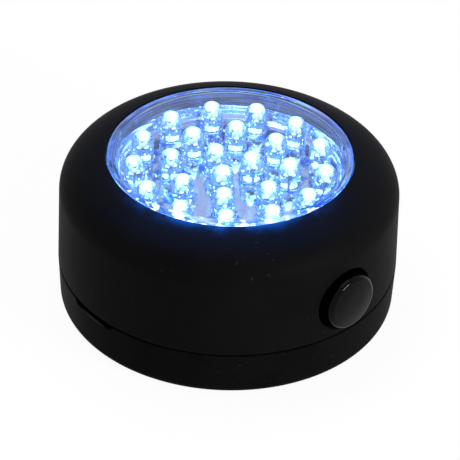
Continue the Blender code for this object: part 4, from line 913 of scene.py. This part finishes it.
def led_frame():
    """Two leads, each with a wider post on top: the cup's post and the bond wire's."""
    lead_offset, lead_half, lead_foot = 1.27, 0.22, -3.2
    post_offset, post_half, post_height = 0.75, 0.24, 1.4
    shape = bmesh.new()
    for side, width, top in ((-1, 1.5, 4.2), (1, 0.7, 4.6)):
        lead, post = side * lead_offset, side * post_offset
        post_foot = top - post_height
        add_box(shape, (lead - lead_half, -lead_half, lead_foot), (lead + lead_half, lead_half, post_foot))
        add_box(shape, (post - width / 2, -post_half, post_foot), (post + width / 2, post_half, top))
    return finish_mesh("led_frame_shape", shape, LEAD_FRAME)


def led_chip():
    """The chip's light as the resin breaks it up: drops of light at x, y, z with a radius and a stretch."""
    drops = (
        (-0.05, 0.00, 6.10, 0.62, 2.7),
        (0.42, 0.10, 6.70, 0.46, 1.3),
        (-0.40, -0.15, 5.50, 0.44, 1.6),
        (0.20, -0.40, 4.90, 0.34, 1.5),
        (-0.15, 0.45, 5.00, 0.36, 1.4),
        (0.90, 0.80, 3.60, 0.14, 3.0),
        (-1.10, -0.50, 3.30, 0.12, 3.5),
        (-0.20, 1.30, 4.40, 0.12, 3.0),
        (0.60, -1.20, 4.00, 0.13, 3.0),
        (1.40, -0.20, 5.20, 0.12, 2.0),
        (-1.30, 0.70, 4.80, 0.10, 3.0),
        (1.00, -0.90, 2.90, 0.13, 1.5),
    )
    shape = bmesh.new()
    for x, y, z, radius, stretch in drops:
        place = Matrix.Translation((x * MM, y * MM, z * MM)) @ Matrix.Diagonal((1.0, 1.0, stretch, 1.0))
        bmesh.ops.create_icosphere(shape, subdivisions=2, radius=radius * MM, matrix=place)
    return finish_mesh("led_chip_shape", shape, CHIP)


def led_foot():
    inside, outside, bottom = 0.35, 1.05, 1.95
    shape = bmesh.new()
    add_turned(shape, [(inside, bottom), (outside, bottom), (outside, 2.55), (inside, 2.15)], 32)
    return finish_mesh("led_foot_shape", shape, FOOT)


def build_leds():
    models = {"body": led_body(), "frame": led_frame(), "chip": led_chip(), "foot": led_foot()}
    for number, (x, y, angle) in enumerate(led_places(), start=1):
        for part, model in models.items():
            copy = bpy.data.objects.new(f"led_{number:02d}_{part}", model.data)
            bpy.context.scene.collection.objects.link(copy)
            copy.location = Vector((x, y, BOARD_TOP)) * MM
            copy.rotation_euler = (0, 0, angle + math.pi / 2)
            if part == "body":
                place_piece(copy, "light", "led_epoxy", f"led_{number:02d}")
            else:
                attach(copy, "light")
    for model in models.values():
        bpy.data.objects.remove(model)


build_leds()


# Button: turned about its own axis, then laid along the direction it moves in


def button_outline():
    face, radius, edge = 40.25, 6.4, 1.1
    groove_top, groove_foot, groove = 38.45, 38.13, 6.33
    flange, flange_top, flange_foot = 7.9, 33.6, 32.4
    # How far the slightly domed face has dropped at each radius
    dome = ((0.0, 0.0), (1.6, 0.02), (3.0, 0.09), (4.0, 0.20), (4.8, 0.33), (5.2, 0.40))
    outline = [(reach, face - drop) for reach, drop in dome]
    outline += arc((radius - edge, face - 1.50), (edge, edge), 75, 0, 14)
    outline += [(radius, groove_top), (groove, 38.38), (groove, 38.2), (radius, groove_foot)]
    outline += [(radius, 33.85), (7.85, flange_top), (flange, 33.5), (flange, 32.5)]
    outline += [(7.8, flange_foot), (0.0, flange_foot)]
    return outline


def build_button():
    # Below this height the button takes the darker, duller copy of its black: painted shade on the side wall
    # in its recess.
    shaded_side_below = 38.7
    button = turned("button", button_outline(), BUTTON, steps=128, closed=False)
    button.data.materials.append(BUTTON_SIDE_SHADE)
    for polygon in button.data.polygons:
        if polygon.center.z < shaded_side_below * MM:
            polygon.material_index = 1
    lay_down = Matrix.Rotation(math.pi / 2, 4, "Y")
    lift = Matrix.Translation((0, 0, BUTTON_HEIGHT * MM))
    button.data.transform(from_button(0) @ lift @ lay_down)
    place_piece(button, "button", "gloss_black", "button_cap")


build_button()


# Stage, light and camera


def build_floor():
    """White paper that shows as the photo's white ground and keeps a faint shadow."""
    shown_share, half_side, drop = 0.94, 3000.0, 0.1
    material, tree = new_material("floor_paper")
    paper = spread(tree, noise(tree, position(tree), 30.0, 3.0), 0.3, 0.7, 0.97, 1.0)
    paper_color = node(tree, "CombineColor", {0: paper, 1: paper, 2: paper})
    matte = node(tree, "BsdfDiffuse", {"Color": paper_color.outputs[0]})
    plain = node(tree, "Emission", {"Color": (1, 1, 1), "Strength": 1.0})
    share = times(tree, background_rays(tree), shown_share)
    output(tree, node(tree, "MixShader", {0: share, 1: matte.outputs[0], 2: plain.outputs[0]}))
    shape = bmesh.new()
    bmesh.ops.create_grid(shape, x_segments=1, y_segments=1, size=half_side * MM)
    floor = finish_mesh("floor", shape, material)
    floor.location = (0, 0, -drop * MM)


def build_world():
    """A soft sky that lights the object, and plain white where it is seen."""
    world = bpy.data.worlds.new("studio")
    bpy.context.scene.world = world
    world.use_nodes = True
    tree = world.node_tree
    tree.nodes.clear()
    sky = node(tree, "Background", {"Color": (0.92, 0.94, 1.0), "Strength": 0.45})
    white = node(tree, "Background", {"Color": (1, 1, 1), "Strength": 1.0})
    mixed = node(tree, "MixShader", {0: background_rays(tree), 1: sky.outputs[0], 2: white.outputs[0]})
    node(tree, "OutputWorld", {"Surface": mixed.outputs[0]})


def softbox(name, place, size, watts):
    """A rectangular lamp that faces the light's middle. Place and size are in metres."""
    target = Vector((0, 0, 0.02))
    lamp = bpy.data.lights.new(name, "AREA")
    lamp.shape = "RECTANGLE"
    lamp.size, lamp.size_y = size
    lamp.energy = watts
    obj = bpy.data.objects.new(name, lamp)
    bpy.context.scene.collection.objects.link(obj)
    obj.location = place
    obj.rotation_euler = (target - Vector(place)).to_track_quat("-Z", "Y").to_euler()


def photo_camera():
    """The camera fitted to the photo's outline, opening and seam. Its distances are in units of 37.5 mm."""
    unit, distance, centre_height = 0.0375, 14.0, 0.5
    elevation, roll = 0.6224, -0.0314
    image_pixels, lens_pixels, aim_x, aim_y = 460, 2355.42, 228.0779, 221.7468
    sensor_width, middle = 36.0, image_pixels / 2
    back = Vector((0, -math.cos(elevation), math.sin(elevation)))
    eye = Vector((0, 0, centre_height)) + distance * back
    forward = -back
    right = Vector((1, 0, 0))
    up = right.cross(forward)
    pan = math.atan((aim_x - middle) / lens_pixels)
    tilt = math.atan(-(aim_y - middle) / lens_pixels * math.cos(pan))
    turn = Matrix.Rotation(pan, 3, up)
    forward, right = turn @ forward, turn @ right
    turn = Matrix.Rotation(-tilt, 3, right)
    forward, up = turn @ forward, turn @ up
    turn = Matrix.Rotation(roll, 3, forward)
    right, up = turn @ right, turn @ up
    data = bpy.data.cameras.new("photo_camera")
    data.sensor_width = sensor_width
    data.lens = lens_pixels * sensor_width / image_pixels
    data.clip_start, data.clip_end = 0.01, 20.0
    camera = bpy.data.objects.new("photo_camera", data)
    bpy.context.scene.collection.objects.link(camera)
    facing = Matrix((right, up, -forward)).transposed().to_4x4()
    camera.matrix_world = Matrix.Translation(eye * unit) @ facing
    bpy.context.scene.camera = camera


build_floor()
build_world()
softbox("softbox_top", place=(-0.15, 0.15, 0.75), size=(0.55, 0.26), watts=2.6)
softbox("softbox_left", place=(-0.65, -0.20, 0.30), size=(0.35, 0.35), watts=0.05)
softbox("softbox_right", place=(0.56, -0.41, 0.22), size=(0.24, 0.05), watts=4.1)
photo_camera()
bpy.context.scene.view_settings.view_transform = "Standard"
